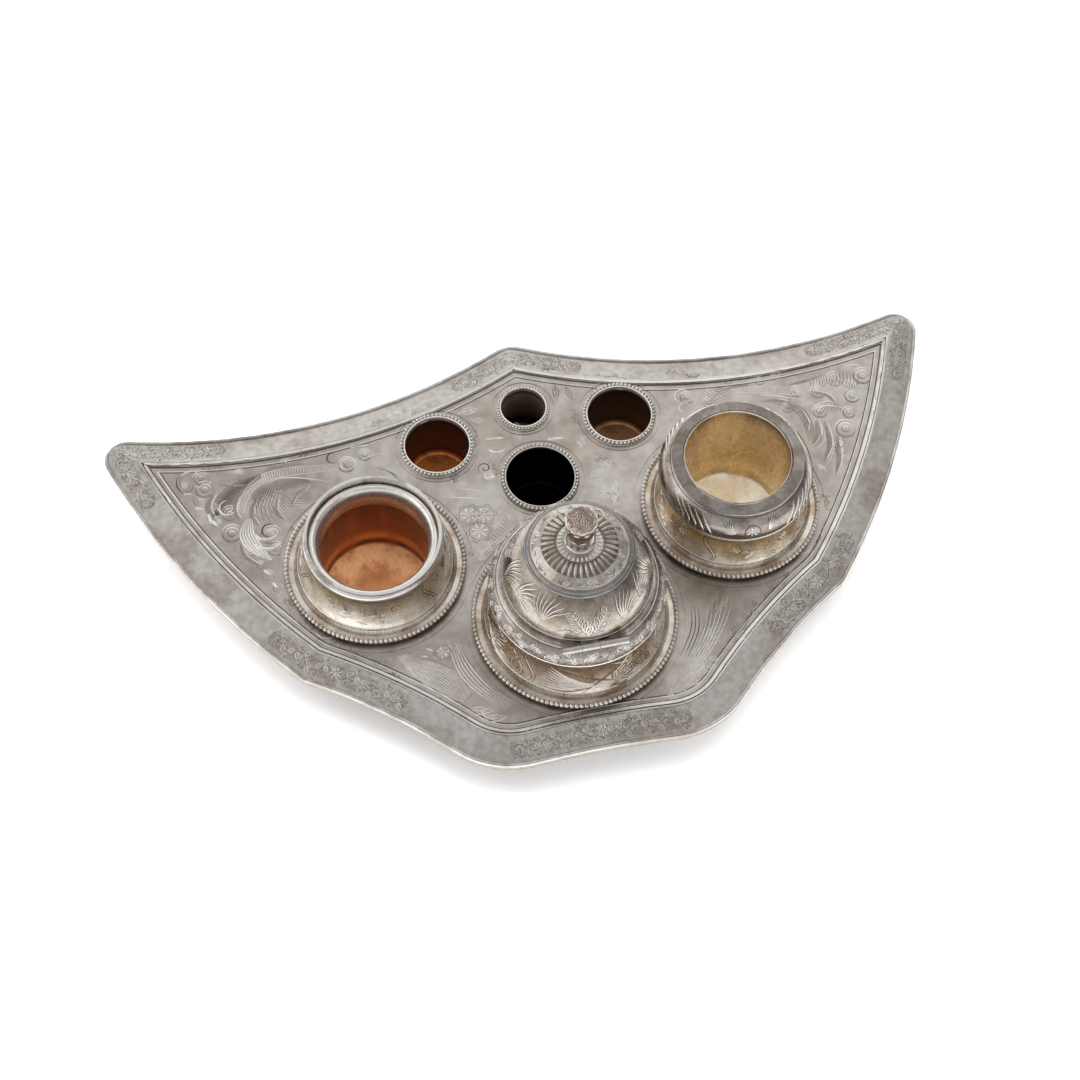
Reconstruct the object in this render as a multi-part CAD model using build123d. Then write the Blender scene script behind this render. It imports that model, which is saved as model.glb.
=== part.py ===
from build123d import *
from math import acos, asin, atan2, cos, degrees, hypot, pi, sin, sqrt
import os

# A silver-plated desk inkstand: a winged tray on four feet, four beaded wells and three lift-out pots.
# Millimetres. While it is built, z = 0 is the top of the tray's panel, x = 0 is the plane of symmetry
# and y = 0 is the back peak of the moulded line. At the end every piece is moved so that the origin
# is under the middle of the tray, on the surface that the feet stand on.

os.makedirs("parts", exist_ok=True)

# ---------------------------------------------------------------- driving dimensions
SHEET = 1.2                    # thickness of the tray's sheet

# Wells
BACK_WELL_RADIUS = 8.7         # inside of the cup
MIDDLE_WELL_RADIUS = 13.1
SIDE_WELL_RADIUS = 12.4
SIDE_WELL_X = 36.1
SIDE_WELL_SPACING = 0.1        # between a side well's collar and the moulding
BACK_WELL_SPACING = 5.9        # between the back well's collar and the moulding
WELL_SPACING = 6.8             # between the collars of the back and the middle well
WELL_DEPTH = 23.4              # inside floor, below the panel
WELL_WALL = 0.6
WELL_LIP_HEIGHT = 1.6          # lip of the cup, above the panel
WELL_FLANGE_WIDTH = 1.4        # its beads are as wide
BACK_WELL_FLANGE_WIDTH = 1.1
WELL_FLANGE_HEIGHT = 0.5
WELL_BEAD_PITCH = 1.14         # in bead diameters
HOLE_CLEARANCE = 0.15          # radial, cup to the hole in the panel

# Pots: feet and places
SIDE_POT_RADIUS = 33.2         # to the middle of the bead ring
CENTRE_POT_RADIUS = 37.5
POT_BEAD_RADIUS = 0.92
SIDE_POT_BEAD_PITCH = 1.86
CENTRE_POT_BEAD_PITCH = 2.1
BEAD_CUSP = 0.45               # notch between two beads, out from their middle, in bead radii
CENTRE_POT_SPACING = 8.1       # between the middle well's collar and the middle pot's beads
POT_SPACING = 4.8              # between the beads of the middle pot and of a side pot
SIDE_POT_STAGGER = 36.1        # how far the side pots stand behind the middle one
POT_SHEET = 0.9
FOOT_RING_INSET = 1.8          # foot ring inside the bead ring's middle
RIM_HEIGHT = 2.2               # top of the flange that carries the bead ring
SEAT_CLEARANCE = 1.0           # radial, a pot's cup to its hole in the panel
CUP_WALL = 0.8
LEDGE_WIDTH = 1.7              # ledge at the top of a skirt
SKIRT_SWEEP = 1.6              # how far a skirt curves in between foot and neck

# Left pot
LEFT_NECK_RADIUS = 25.6        # top of the skirt
LEFT_SKIRT_HEIGHT = 19.8
COLLAR_OVERHANG = 0.1          # foot of the collar, out from the neck
COLLAR_HEIGHT = 2.6
COLLAR_SWELL = 0.5
LIP_INSET = 0.4                # outside of the lip, in from the neck
LIP_WALL = 1.1
LIP_HEIGHT = 1.6               # above the collar
LINER_RADIUS = 20.4            # inside of the copper cup
LINER_DEPTH = 19.0             # inside floor, below the panel
LINER_CUP_DROP = 4.4           # top of the copper cup, below the top of the skirt
LINER_FLANGE_HEIGHT = 2.5      # rolled flange, above its ledge
LINER_FLANGE_CLEARANCE = 0.35  # radial, flange to the lip
ROLL_FULLNESS = 0.9            # rise of the rolled flange over its edge, in half heights
THROAT_SWELL = 0.3

# Right pot
RIGHT_NECK_RADIUS = 26.6
RIGHT_SKIRT_HEIGHT = 20.2
BULGE_OVERHANG = 1.2           # foot of the bulge, out from the neck
BULGE_TOP_RADIUS = 24.0
BULGE_HEIGHT = 12.0
BULGE_SWELL = 2.6
RIM_OVERHANG = 0.4             # rim, out from the top of the bulge
RIM_INNER_RADIUS = 20.5
RIM_BEVEL = 0.7                # rim's inner edge stands above its outer edge
RIM_THICKNESS = 1.3
RIGHT_CUP_FLOOR_RADIUS = 18.6
RIGHT_CUP_DEPTH = 9.0          # inside floor, below the panel

# Middle pot
CENTRE_NECK_RADIUS = 30.4
CENTRE_SKIRT_HEIGHT = 23.4
SHOULDER_OVERHANG = 1.4        # foot of the shoulder, out from the neck
SHOULDER_TOP_RADIUS = 27.7
SHOULDER_HEIGHT = 8.6
SHOULDER_SWELL = 2.0
CENTRE_MOUTH_RADIUS = 24.6
GLASS_LEDGE_DEPTH = 4.5        # ledge for the glass, below the top of the shoulder
GLASS_FLANGE_HEIGHT = 1.5
GLASS_WALL = 2.0
GLASS_FLANGE_WIDTH = 2.5
GLASS_CLEARANCE = 0.3          # radial, glass to ledge and mouth
GLASS_DEPTH = 11.0             # outside floor, below the panel

# Lid
LID_GAP = 0.1                  # closed lid above the shoulder
DOME_INSET = 0.7               # foot of the dome, in from the top of the shoulder
DOME_TOP_RADIUS = 16.6
DOME_HEIGHT = 19.0
DOME_SWELL = 3.0
BEZEL_CLEARANCE = 0.4          # radial, bezel to mouth
BEZEL_WALL = 1.0
BEZEL_DROP = 2.2
BEZEL_PLATE = 0.7
CAP_RIM_OVERHANG = 3.0         # rim of the cap, out from the top of the dome
CAP_RIM_HEIGHT = 1.7
CAP_RIM_SWELL = 0.6
CAP_INSET = 1.0                # foot of the cap, in from its rim
CAP_TOP_RADIUS = 5.0
CAP_RISE = 4.6
CAP_SWELL = 1.0
FLUTE_OUTER_RADIUS = 13.6
FLUTE_INNER_RADIUS = 8.6
FLUTE_THICKNESS = 1.1
FLUTE_EDGE = 0.44              # height of the outer edge of the fluted ring
FLUTE_DEPTH = 0.5
FLUTE_COUNT = 36
FLUTE_LAND = 0.6               # share of the ring between two flutes that stays full
FINIAL_COLLAR_OVERHANG = 0.6
FINIAL_COLLAR_HEIGHT = 1.6
KNOB_NECK_RADIUS = 3.0
KNOB_NECK_SWEEP = 1.1          # how far the neck curves in
KNOB_NECK_HEIGHT = 5.0
KNOB_FOOT_RADIUS = 4.9         # top of the neck, where the knob starts
KNOB_RADIUS = 5.3
KNOB_SWELL = 0.5
KNOB_HEIGHT = 14.6
KNOB_CROWN = 0.7               # rise of the knob's top over its rim
STUD_RADIUS = 1.5
STUD_CLEARANCE = 0.1
STUD_STEP = 0.4                # ring that the knob stands on, out from its neck
NUT_ACROSS_CORNERS = 6.4
NUT_HEIGHT = 2.2

# Hinge at the front of the lid
HINGE_OFFSET = 1.6             # pin's axis, out from the foot of the dome
HINGE_RISE = 0.8               # pin's axis, above the top of the shoulder
HINGE_LENGTH = 24.0
KNUCKLE_RADIUS = 1.5
PIN_RADIUS = 0.6
PIN_CLEARANCE = 0.05           # radial, in the lid's knuckle
MIDDLE_KNUCKLE_LENGTH = 6.4
MIDDLE_KNUCKLE_X = -1.7        # its middle, from the middle of the hinge
KNUCKLE_GAP = 0.15             # between knuckles, and round the barrel
LEAF_THICKNESS = 0.7

# Plan of the moulded line, right half
WING_TIP_X = 150.0
WING_TIP_Y = -15.0
BACK_SWEEP = 13.0              # how far the back edge curves in between peak and wing tip
SIDE_SWELL = 5.0               # how far the side curves out between wing tip and side corner
SIDE_CORNER_OUT = 26.9         # side corner, outward from the middle of the side pot
SIDE_CORNER_FORWARD = 31.7     # and in front of it
SHOULDER_RADIUS = 260.0        # hollow curve between side corner and front lobe
LOBE_X = 28.5                  # centre of the rounded lobe at the front
LOBE_RADIUS = 24.0
FRONT_HOLLOW = 1.0             # how far the front curves in between the lobes
FRONT_SPACING = 0.78           # between the middle pot's beads and the moulding at the front

# Border, edge and mouldings
BAND_WIDTH = 10.5              # moulded line to the outside of the border
BAND_SLOPE = 0.24              # fall of the band for each millimetre outward
WALL_DEPTH = 6.5               # bottom of the turned-down wall, below the panel
WALL_THICKNESS = 1.6
TIP_ROUND = 8.0                # rounding of the wing tips in plan
PEAK_ROUND = 12.0
CORNER_ROUND = 7.0
WIRE_INSIDE = 0.9              # edge wire, inward from the outside of the border
WIRE_OUTSIDE = 0.5             # edge wire, outward from it
WIRE_TOP = 1.7                 # top of the edge wire, below the panel
WIRE_HEIGHT = 1.4
WIRE_ROUND = 0.56              # rounding of its upper edges
MOULDING_WIDTH = 2.4
MOULDING_BASE = 0.3            # height of the moulding's strip
REED_WIDTH = 1.3
REED_HEIGHT = 1.0
REED_MARGIN = 0.2              # thick reed, in front of the strip's inner edge
THIN_REED_WIDTH = 0.6
THIN_REED_HEIGHT = 0.6
THIN_REED_MARGIN = 0.1
REED_FLANK = 0.3               # share of a reed's width that slopes on each side

# Feet
UNDER_CUPS = 4.0               # room under the deepest cup
FRONT_FOOT_IN = 40.3           # front foot, inward from the side corner
FRONT_FOOT_FORWARD = 10.0
BACK_FOOT_IN = 50.0            # back foot, inward from the wing tip
BACK_FOOT_FORWARD = 25.0
FOOT_FLANGE_RADIUS = 8.0
FOOT_FLANGE_HEIGHT = 1.6
FOOT_TAPER = 3.2               # height of the cone under the flange
FOOT_WAIST_RADIUS = 3.4
FOOT_BALL_RADIUS = 6.5
FOOT_PAD_RADIUS = 4.0
FOOT_PAD_HEIGHT = 0.9

# Chased ring lines in the panel
LINE_WIDTH = 0.45
LINE_DEPTH = 0.3
POT_LINE_OFFSET = 3.2          # from the middle of a pot's bead ring
WELL_LINE_OFFSET = 1.7         # from the outside of a well's collar


# ---------------------------------------------------------------- chains of arcs
def arc_between(start, end, swell):
    """An arc as (start, middle, end) that swells to the right of its travel."""
    dx, dy = end[0] - start[0], end[1] - start[1]
    length = hypot(dx, dy)
    middle = ((start[0] + end[0]) / 2 + swell * dy / length,
              (start[1] + end[1]) / 2 - swell * dx / length)
    return start, middle, end


def arc_centre(arc):
    """Centre of the circle through an arc's three points, or None for a straight one."""
    (ax, ay), (bx, by), (cx, cy) = arc
    turn = (bx - ax) * (cy - ay) - (by - ay) * (cx - ax)
    if abs(turn) < 1e-9:
        return None
    b2 = (bx - ax) ** 2 + (by - ay) ** 2
    c2 = (cx - ax) ** 2 + (cy - ay) ** 2
    return (ax + (b2 * (cy - ay) - c2 * (by - ay)) / (2 * turn),
            ay + (c2 * (bx - ax) - b2 * (cx - ax)) / (2 * turn))


def right_normal(arc, point):
    """Unit vector square to the arc at one of its points, to the right of its travel."""
    start, middle, end = arc
    centre = arc_centre(arc)
    chord = hypot(end[0] - start[0], end[1] - start[1])
    across = ((end[1] - start[1]) / chord, (start[0] - end[0]) / chord)
    if centre is None:
        return across
    spoke = (point[0] - centre[0], point[1] - centre[1])
    radius = hypot(*spoke)
    bow = (middle[0] - centre[0]) * across[0] + (middle[1] - centre[1]) * across[1]
    side = 1 if bow > 0 else -1
    return side * spoke[0] / radius, side * spoke[1] / radius


def moved_aside(arcs, distance, closed=True):
    """The same chain moved to the right of its travel, with its corners kept as corners."""
    count = len(arcs)
    corners = []
    for i in range(count + 1):
        before = arcs[i - 1] if closed or i > 0 else arcs[0]
        after = arcs[i % count] if closed or i < count else arcs[-1]
        corner = arcs[i][0] if i < count else arcs[-1][2]
        n1, n2 = right_normal(before, corner), right_normal(after, corner)
        reach = distance / (1 + n1[0] * n2[0] + n1[1] * n2[1])
        corners.append((corner[0] + reach * (n1[0] + n2[0]), corner[1] + reach * (n1[1] + n2[1])))
    moved = []
    for i, arc in enumerate(arcs):
        normal = right_normal(arc, arc[1])
        middle = (arc[1][0] + distance * normal[0], arc[1][1] + distance * normal[1])
        moved.append((corners[i], middle, corners[i + 1]))
    return moved


def edges_of(arcs, height=0.0):
    """The chain's edges, in a level plane at a height."""
    edges = []
    for arc in arcs:
        start, middle, end = [(x, y, height) for x, y in arc]
        edges.append(Line(start, end) if arc_centre(arc) is None else ThreePointArc(start, middle, end))
    return edges


# ---------------------------------------------------------------- sizes that follow from these
BACK_EDGE = arc_between((WING_TIP_X, WING_TIP_Y), (0.0, 0.0), -BACK_SWEEP)


def before_back_edge(x, distance):
    """Place at x whose distance from the right half of the moulded line's back edge is given."""
    centre = arc_centre(BACK_EDGE)
    reach = hypot(*centre) + distance
    return centre[1] - sqrt(reach ** 2 - (x - centre[0]) ** 2)


SIDE_COLLAR_RADIUS = SIDE_WELL_RADIUS + WELL_WALL + WELL_FLANGE_WIDTH
SIDE_WELL_Y = before_back_edge(SIDE_WELL_X, MOULDING_WIDTH + SIDE_WELL_SPACING + SIDE_COLLAR_RADIUS)
BACK_COLLAR_RADIUS = BACK_WELL_RADIUS + WELL_WALL + BACK_WELL_FLANGE_WIDTH
BACK_WELL_Y = before_back_edge(0.0, MOULDING_WIDTH + BACK_WELL_SPACING + BACK_COLLAR_RADIUS)
MIDDLE_COLLAR_RADIUS = MIDDLE_WELL_RADIUS + WELL_WALL + WELL_FLANGE_WIDTH
MIDDLE_WELL_Y = BACK_WELL_Y - BACK_COLLAR_RADIUS - WELL_SPACING - MIDDLE_COLLAR_RADIUS
SIDE_BEADS_RADIUS = SIDE_POT_RADIUS + POT_BEAD_RADIUS
CENTRE_BEADS_RADIUS = CENTRE_POT_RADIUS + POT_BEAD_RADIUS
CENTRE_POT_Y = MIDDLE_WELL_Y - MIDDLE_COLLAR_RADIUS - CENTRE_POT_SPACING - CENTRE_BEADS_RADIUS
SIDE_POT_Y = CENTRE_POT_Y + SIDE_POT_STAGGER
POT_X = sqrt((SIDE_BEADS_RADIUS + POT_SPACING + CENTRE_BEADS_RADIUS) ** 2 - SIDE_POT_STAGGER ** 2)
SIDE_CORNER_X = POT_X + SIDE_CORNER_OUT
SIDE_CORNER_Y = SIDE_POT_Y - SIDE_CORNER_FORWARD
FRONT_MIDDLE_Y = CENTRE_POT_Y - CENTRE_BEADS_RADIUS - FRONT_SPACING - MOULDING_WIDTH
LOBE_Y = FRONT_MIDDLE_Y + LOBE_RADIUS - FRONT_HOLLOW
LEFT_LIP_RADIUS = LEFT_NECK_RADIUS - LIP_INSET
LEFT_MOUTH_RADIUS = LEFT_LIP_RADIUS - LIP_WALL
RIM_HEIGHT_RIGHT = RIGHT_SKIRT_HEIGHT + BULGE_HEIGHT
SHOULDER_TOP = CENTRE_SKIRT_HEIGHT + SHOULDER_HEIGHT
GLASS_RADIUS = CENTRE_MOUTH_RADIUS - GLASS_CLEARANCE - GLASS_FLANGE_WIDTH
DOME_RADIUS = SHOULDER_TOP_RADIUS - DOME_INSET
HINGE_REACH = DOME_RADIUS + HINGE_OFFSET
CAP_RIM_RADIUS = DOME_TOP_RADIUS + CAP_RIM_OVERHANG
CAP_RADIUS = CAP_RIM_RADIUS - CAP_INSET
DEEPEST_CUP = max(WELL_DEPTH + WELL_WALL, LINER_DEPTH + CUP_WALL, RIGHT_CUP_DEPTH + CUP_WALL, GLASS_DEPTH)
STAND_HEIGHT = DEEPEST_CUP + UNDER_CUPS    # surface under the feet to the top of the panel


# ---------------------------------------------------------------- plan of the tray
def moulded_line():
    """The line between panel and band, anticlockwise from the front lobe."""
    lobe = (LOBE_X, LOBE_Y)
    corner = (SIDE_CORNER_X, SIDE_CORNER_Y)
    tip = (WING_TIP_X, WING_TIP_Y)
    # hollow front arc that runs smoothly into both lobes
    rise = LOBE_Y - FRONT_MIDDLE_Y
    front_radius = (LOBE_X ** 2 + rise ** 2 - LOBE_RADIUS ** 2) / (2 * (LOBE_RADIUS - rise))
    front = (0.0, FRONT_MIDDLE_Y - front_radius)
    share = front_radius / (front_radius + LOBE_RADIUS)
    lobe_start = (front[0] + share * (lobe[0] - front[0]), front[1] + share * (lobe[1] - front[1]))
    # hollow shoulder arc through the side corner that runs smoothly into the lobe
    span = hypot(corner[0] - lobe[0], corner[1] - lobe[1])
    reach = SHOULDER_RADIUS + LOBE_RADIUS
    angle = acos((span ** 2 + reach ** 2 - SHOULDER_RADIUS ** 2) / (2 * span * reach))
    heading = atan2(corner[1] - lobe[1], corner[0] - lobe[0]) - angle
    lobe_end = (lobe[0] + LOBE_RADIUS * cos(heading), lobe[1] + LOBE_RADIUS * sin(heading))
    chord = hypot(corner[0] - lobe_end[0], corner[1] - lobe_end[1])
    hollow = SHOULDER_RADIUS - sqrt(SHOULDER_RADIUS ** 2 - chord ** 2 / 4)
    lobe_turn = (atan2(lobe_start[1] - lobe[1], lobe_start[0] - lobe[0]) + heading) / 2
    lobe_middle = (lobe[0] + LOBE_RADIUS * cos(lobe_turn), lobe[1] + LOBE_RADIUS * sin(lobe_turn))
    right_half = [(lobe_start, lobe_middle, lobe_end),
                  arc_between(lobe_end, corner, -hollow),
                  arc_between(corner, tip, SIDE_SWELL),
                  BACK_EDGE]
    left_half = [tuple((-x, y) for x, y in reversed(arc)) for arc in reversed(right_half)]
    front_arc = (left_half[-1][2], (0.0, FRONT_MIDDLE_Y), lobe_start)
    return right_half + left_half + [front_arc]


LINE = moulded_line()


def plan(distance, height=0.0):
    """Level face bounded by the moulded line moved outward by a distance."""
    return make_face(edges_of(moved_aside(LINE, distance), height))


def rounded_plan(distance, height=0.0):
    """The same, with the peak, the wing tips and the side corners rounded."""
    face = plan(distance, height)
    grow = distance - BAND_WIDTH
    rounds = [(0.0, 0.0, PEAK_ROUND), (WING_TIP_X, WING_TIP_Y, TIP_ROUND),
              (SIDE_CORNER_X, SIDE_CORNER_Y, CORNER_ROUND)]
    for x, y, radius in rounds:
        reach = lambda v: hypot(abs(v.X) - x, v.Y - y)
        nearest = sorted(face.vertices(), key=reach)[:1 if x == 0 else 2]
        face = fillet(nearest, radius + grow)
    return face


def between(outer_face, inner_face, height):
    """A flat-topped strip between two level faces."""
    return extrude(outer_face, height, dir=(0, 0, 1)) - extrude(inner_face, height, dir=(0, 0, 1))


def slab(face, height):
    """A face raised straight up by a height, or lowered by a negative one."""
    return extrude(face, abs(height), dir=(0, 0, 1 if height > 0 else -1))


# ---------------------------------------------------------------- turned and drilled forms
def turned(outline):
    """A solid of revolution about z, from (radius, height) corners, or arcs as three such points."""
    edges = []
    points = []
    for item in outline:
        if isinstance(item[0], tuple):
            start, middle, end = [(r, 0, z) for r, z in item]
            if points and points[-1] != start:
                edges.append(Line(points[-1], start))
            edges.append(ThreePointArc(start, middle, end))
            points += [start, end]
        else:
            point = (item[0], 0, item[1])
            if points and points[-1] != point:
                edges.append(Line(points[-1], point))
            points.append(point)
    if points[-1] != points[0]:
        edges.append(Line(points[-1], points[0]))
    return revolve(make_face(edges), Axis.Z)


def ring(inner, outer, bottom, top):
    """A plain ring about z with a square section."""
    return turned([(inner, bottom), (outer, bottom), (outer, top), (inner, top)])


def disc(radius, bottom, top):
    """A round plate or plug about z."""
    return Pos(0, 0, bottom) * Cylinder(radius, top - bottom, align=(Align.CENTER, Align.CENTER, Align.MIN))


def beaded_ring(radius, bead_radius, pitch, bottom, inner_radius):
    """A beaded wire: a ring whose outside is a row of round beads, one pitch apart."""
    count = round(2 * pi * radius / pitch)
    step = 2 * pi / count
    cusp = radius + BEAD_CUSP * bead_radius
    arcs = []
    for i in range(count):
        a, b = i * step, (i + 1) * step
        crest = radius + bead_radius
        middle = (a + b) / 2
        arcs.append(ThreePointArc((cusp * cos(a), cusp * sin(a), bottom),
                                  (crest * cos(middle), crest * sin(middle), bottom),
                                  (cusp * cos(b), cusp * sin(b), bottom)))
    outside = slab(make_face(arcs), 2 * bead_radius)
    return outside - disc(inner_radius, bottom - 1, bottom + 2 * bead_radius + 1)


# ---------------------------------------------------------------- tray
def wells():
    """Name, place, inside radius and flange width of each well."""
    return [("left", -SIDE_WELL_X, SIDE_WELL_Y, SIDE_WELL_RADIUS, WELL_FLANGE_WIDTH),
            ("right", SIDE_WELL_X, SIDE_WELL_Y, SIDE_WELL_RADIUS, WELL_FLANGE_WIDTH),
            ("back", 0.0, BACK_WELL_Y, BACK_WELL_RADIUS, BACK_WELL_FLANGE_WIDTH),
            ("middle", 0.0, MIDDLE_WELL_Y, MIDDLE_WELL_RADIUS, WELL_FLANGE_WIDTH)]


def pots():
    """Place, bead ring radius and cup radius of each pot."""
    return [(-POT_X, SIDE_POT_Y, SIDE_POT_RADIUS, LINER_RADIUS + CUP_WALL),
            (POT_X, SIDE_POT_Y, SIDE_POT_RADIUS, RIM_INNER_RADIUS + CUP_WALL),
            (0.0, CENTRE_POT_Y, CENTRE_POT_RADIUS, GLASS_RADIUS)]


def ring_line(radius):
    """Room for a chased line round a well or a pot."""
    return ring(radius - LINE_WIDTH / 2, radius + LINE_WIDTH / 2, -LINE_DEPTH, 1)


def tray_panel():
    panel = slab(plan(0.0), -SHEET)
    for _, x, y, radius, flange_width in wells():
        panel -= Pos(x, y, 0) * disc(radius + WELL_WALL + HOLE_CLEARANCE, -SHEET - 1, 1)
        panel -= Pos(x, y, 0) * ring_line(radius + WELL_WALL + flange_width + WELL_LINE_OFFSET)
    for x, y, bead_ring, cup in pots():
        panel -= Pos(x, y, 0) * disc(cup + SEAT_CLEARANCE, -SHEET - 1, 1)
        panel -= Pos(x, y, 0) * ring_line(bead_ring + POT_LINE_OFFSET)
    return panel


def sloping_block(distance, drop):
    """Block under the sloping band: from the moulded line down and out to a distance."""
    low = -BAND_SLOPE * distance - drop
    block = loft([plan(distance, low), plan(0.0, -drop)], ruled=True)
    return block & Pos(0, 0, low - 1) * slab(rounded_plan(distance), drop + 50)


def border_band():
    sheet_edge = BAND_WIDTH - WIRE_INSIDE
    wall_top = -WIRE_TOP - WIRE_HEIGHT
    wall_inside = BAND_WIDTH - WALL_THICKNESS
    body = sloping_block(sheet_edge, 0.0)
    body += Pos(0, 0, -WALL_DEPTH) * slab(rounded_plan(sheet_edge), WALL_DEPTH - BAND_SLOPE * sheet_edge)
    body += Pos(0, 0, -WALL_DEPTH) * slab(rounded_plan(BAND_WIDTH), WALL_DEPTH + wall_top)
    hollow = sloping_block(wall_inside, SHEET)
    inside_low = -BAND_SLOPE * wall_inside - SHEET
    hollow += Pos(0, 0, -WALL_DEPTH - 1) * slab(rounded_plan(wall_inside), WALL_DEPTH + 1 + inside_low)
    return body - hollow - Pos(0, 0, -WALL_DEPTH - 2) * slab(plan(0.0), WALL_DEPTH + 4)


def edge_wire():
    outer = rounded_plan(BAND_WIDTH + WIRE_OUTSIDE)
    inner = rounded_plan(BAND_WIDTH - WIRE_INSIDE)
    wire = Pos(0, 0, -WIRE_TOP - WIRE_HEIGHT) * between(outer, inner, WIRE_HEIGHT)
    top = wire.edges().group_by(Axis.Z)[-1]
    return fillet(top, WIRE_ROUND)


def reed(outside, width, height):
    """A raised line with sloping flanks that follows the moulded line."""
    slope = REED_FLANK * width
    body = loft([plan(outside), plan(outside - slope, height)], ruled=True)
    return body - loft([plan(outside - width), plan(outside - width + slope, height)], ruled=True)


def inner_moulding():
    strip = between(plan(0.0), plan(-MOULDING_WIDTH), MOULDING_BASE)
    thin = reed(-THIN_REED_MARGIN, THIN_REED_WIDTH, THIN_REED_HEIGHT)
    thick = reed(REED_WIDTH - MOULDING_WIDTH + REED_MARGIN, REED_WIDTH, REED_HEIGHT)
    return strip + thin + thick


def well_cup(radius, flange_width):
    wall = radius + WELL_WALL
    floor = -WELL_DEPTH - WELL_WALL
    cup = disc(wall, floor, WELL_LIP_HEIGHT) - disc(radius, -WELL_DEPTH, WELL_LIP_HEIGHT + 1)
    return cup + ring(radius + WELL_WALL / 2, wall + flange_width, 0.0, WELL_FLANGE_HEIGHT)


def well_collar(radius, flange_width):
    wall = radius + WELL_WALL
    middle = wall + flange_width / 2
    return beaded_ring(middle, flange_width / 2, WELL_BEAD_PITCH * flange_width, WELL_FLANGE_HEIGHT, wall)


def foot():
    top = -SHEET
    pad_drop = sqrt(FOOT_BALL_RADIUS ** 2 - FOOT_PAD_RADIUS ** 2)
    ball = -STAND_HEIGHT + FOOT_PAD_HEIGHT + pad_drop
    waist_drop = sqrt(FOOT_BALL_RADIUS ** 2 - FOOT_WAIST_RADIUS ** 2)
    pad = -STAND_HEIGHT
    return turned([(0.0, top), (FOOT_FLANGE_RADIUS, top), (FOOT_FLANGE_RADIUS, top - FOOT_FLANGE_HEIGHT),
                   (FOOT_WAIST_RADIUS, top - FOOT_FLANGE_HEIGHT - FOOT_TAPER),
                   ((FOOT_WAIST_RADIUS, ball + waist_drop), (FOOT_BALL_RADIUS, ball),
                    (FOOT_PAD_RADIUS, ball - pad_drop)),
                   (FOOT_PAD_RADIUS, pad), (0.0, pad)])


# ---------------------------------------------------------------- pots
def skirt(ring_radius, neck_radius, height, ledge_radius):
    """A spun skirt: foot ring, flange for the beads, hollow-curved wall and a ledge at its top."""
    foot_outside = ring_radius - FOOT_RING_INSET
    foot_inside = foot_outside - POT_SHEET
    flange = RIM_HEIGHT - POT_SHEET
    wall = arc_between((foot_outside - POT_SHEET, RIM_HEIGHT), (neck_radius, height), -SKIRT_SWEEP)
    inner = moved_aside([wall], -POT_SHEET, closed=False)[0]
    ledge = height - POT_SHEET
    return turned([(foot_inside, 0.0), (foot_outside, 0.0), (foot_outside, flange),
                   (ring_radius, flange), (ring_radius, RIM_HEIGHT), wall,
                   (ledge_radius, height), (ledge_radius, ledge), (inner[2][0], ledge),
                   (inner[1][0], inner[1][1]), (foot_inside, flange)])


def pot_beads(ring_radius, pitch):
    return beaded_ring(ring_radius, POT_BEAD_RADIUS, pitch, RIM_HEIGHT, ring_radius - POT_BEAD_RADIUS)


def left_collar():
    low = LEFT_SKIRT_HEIGHT
    top = low + COLLAR_HEIGHT + LIP_HEIGHT
    belt = arc_between((LEFT_NECK_RADIUS + COLLAR_OVERHANG, low), (LEFT_LIP_RADIUS, low + COLLAR_HEIGHT),
                       COLLAR_SWELL)
    return turned([(LEFT_MOUTH_RADIUS, low), belt, (LEFT_LIP_RADIUS, top), (LEFT_MOUTH_RADIUS, top)])


def left_liner_flange():
    low = LEFT_SKIRT_HEIGHT
    outside = LEFT_MOUTH_RADIUS - LINER_FLANGE_CLEARANCE
    inside = LINER_RADIUS + CUP_WALL
    cup_top = low - LINER_CUP_DROP
    half = LINER_FLANGE_HEIGHT / 2
    roll = arc_between((outside, low + half), (inside, low + half), ROLL_FULLNESS * half)
    throat = arc_between((inside, low + half), (LINER_RADIUS, cup_top), THROAT_SWELL)
    return turned([(inside, low), (outside, low), roll, throat, (inside, cup_top)])


def left_liner_cup():
    outside = LINER_RADIUS + CUP_WALL
    top = LEFT_SKIRT_HEIGHT - LINER_CUP_DROP
    return disc(outside, -LINER_DEPTH - CUP_WALL, top) - disc(LINER_RADIUS, -LINER_DEPTH, top + 1)


def right_bulge():
    low, top = RIGHT_SKIRT_HEIGHT, RIM_HEIGHT_RIGHT
    foot_radius = RIGHT_NECK_RADIUS + BULGE_OVERHANG
    plate_inside = RIGHT_NECK_RADIUS - LEDGE_WIDTH
    wall = arc_between((foot_radius, low), (BULGE_TOP_RADIUS, top), BULGE_SWELL)
    inner = arc_between((BULGE_TOP_RADIUS - POT_SHEET, top), (foot_radius - POT_SHEET, low + POT_SHEET),
                        -BULGE_SWELL)
    return turned([(plate_inside, low), wall, inner, (plate_inside, low + POT_SHEET)])


def right_rim():
    low = RIM_HEIGHT_RIGHT
    outer_radius = BULGE_TOP_RADIUS + RIM_OVERHANG
    outer_top = low + RIM_THICKNESS
    return turned([(RIM_INNER_RADIUS, low), (outer_radius, low), (outer_radius, outer_top),
                   (RIM_INNER_RADIUS, outer_top + RIM_BEVEL)])


def right_cup():
    top = RIM_HEIGHT_RIGHT
    floor = -RIGHT_CUP_DEPTH
    return turned([(0.0, floor - CUP_WALL), (RIGHT_CUP_FLOOR_RADIUS + CUP_WALL, floor - CUP_WALL),
                   (RIM_INNER_RADIUS + CUP_WALL, top), (RIM_INNER_RADIUS, top),
                   (RIGHT_CUP_FLOOR_RADIUS, floor), (0.0, floor)])


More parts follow.
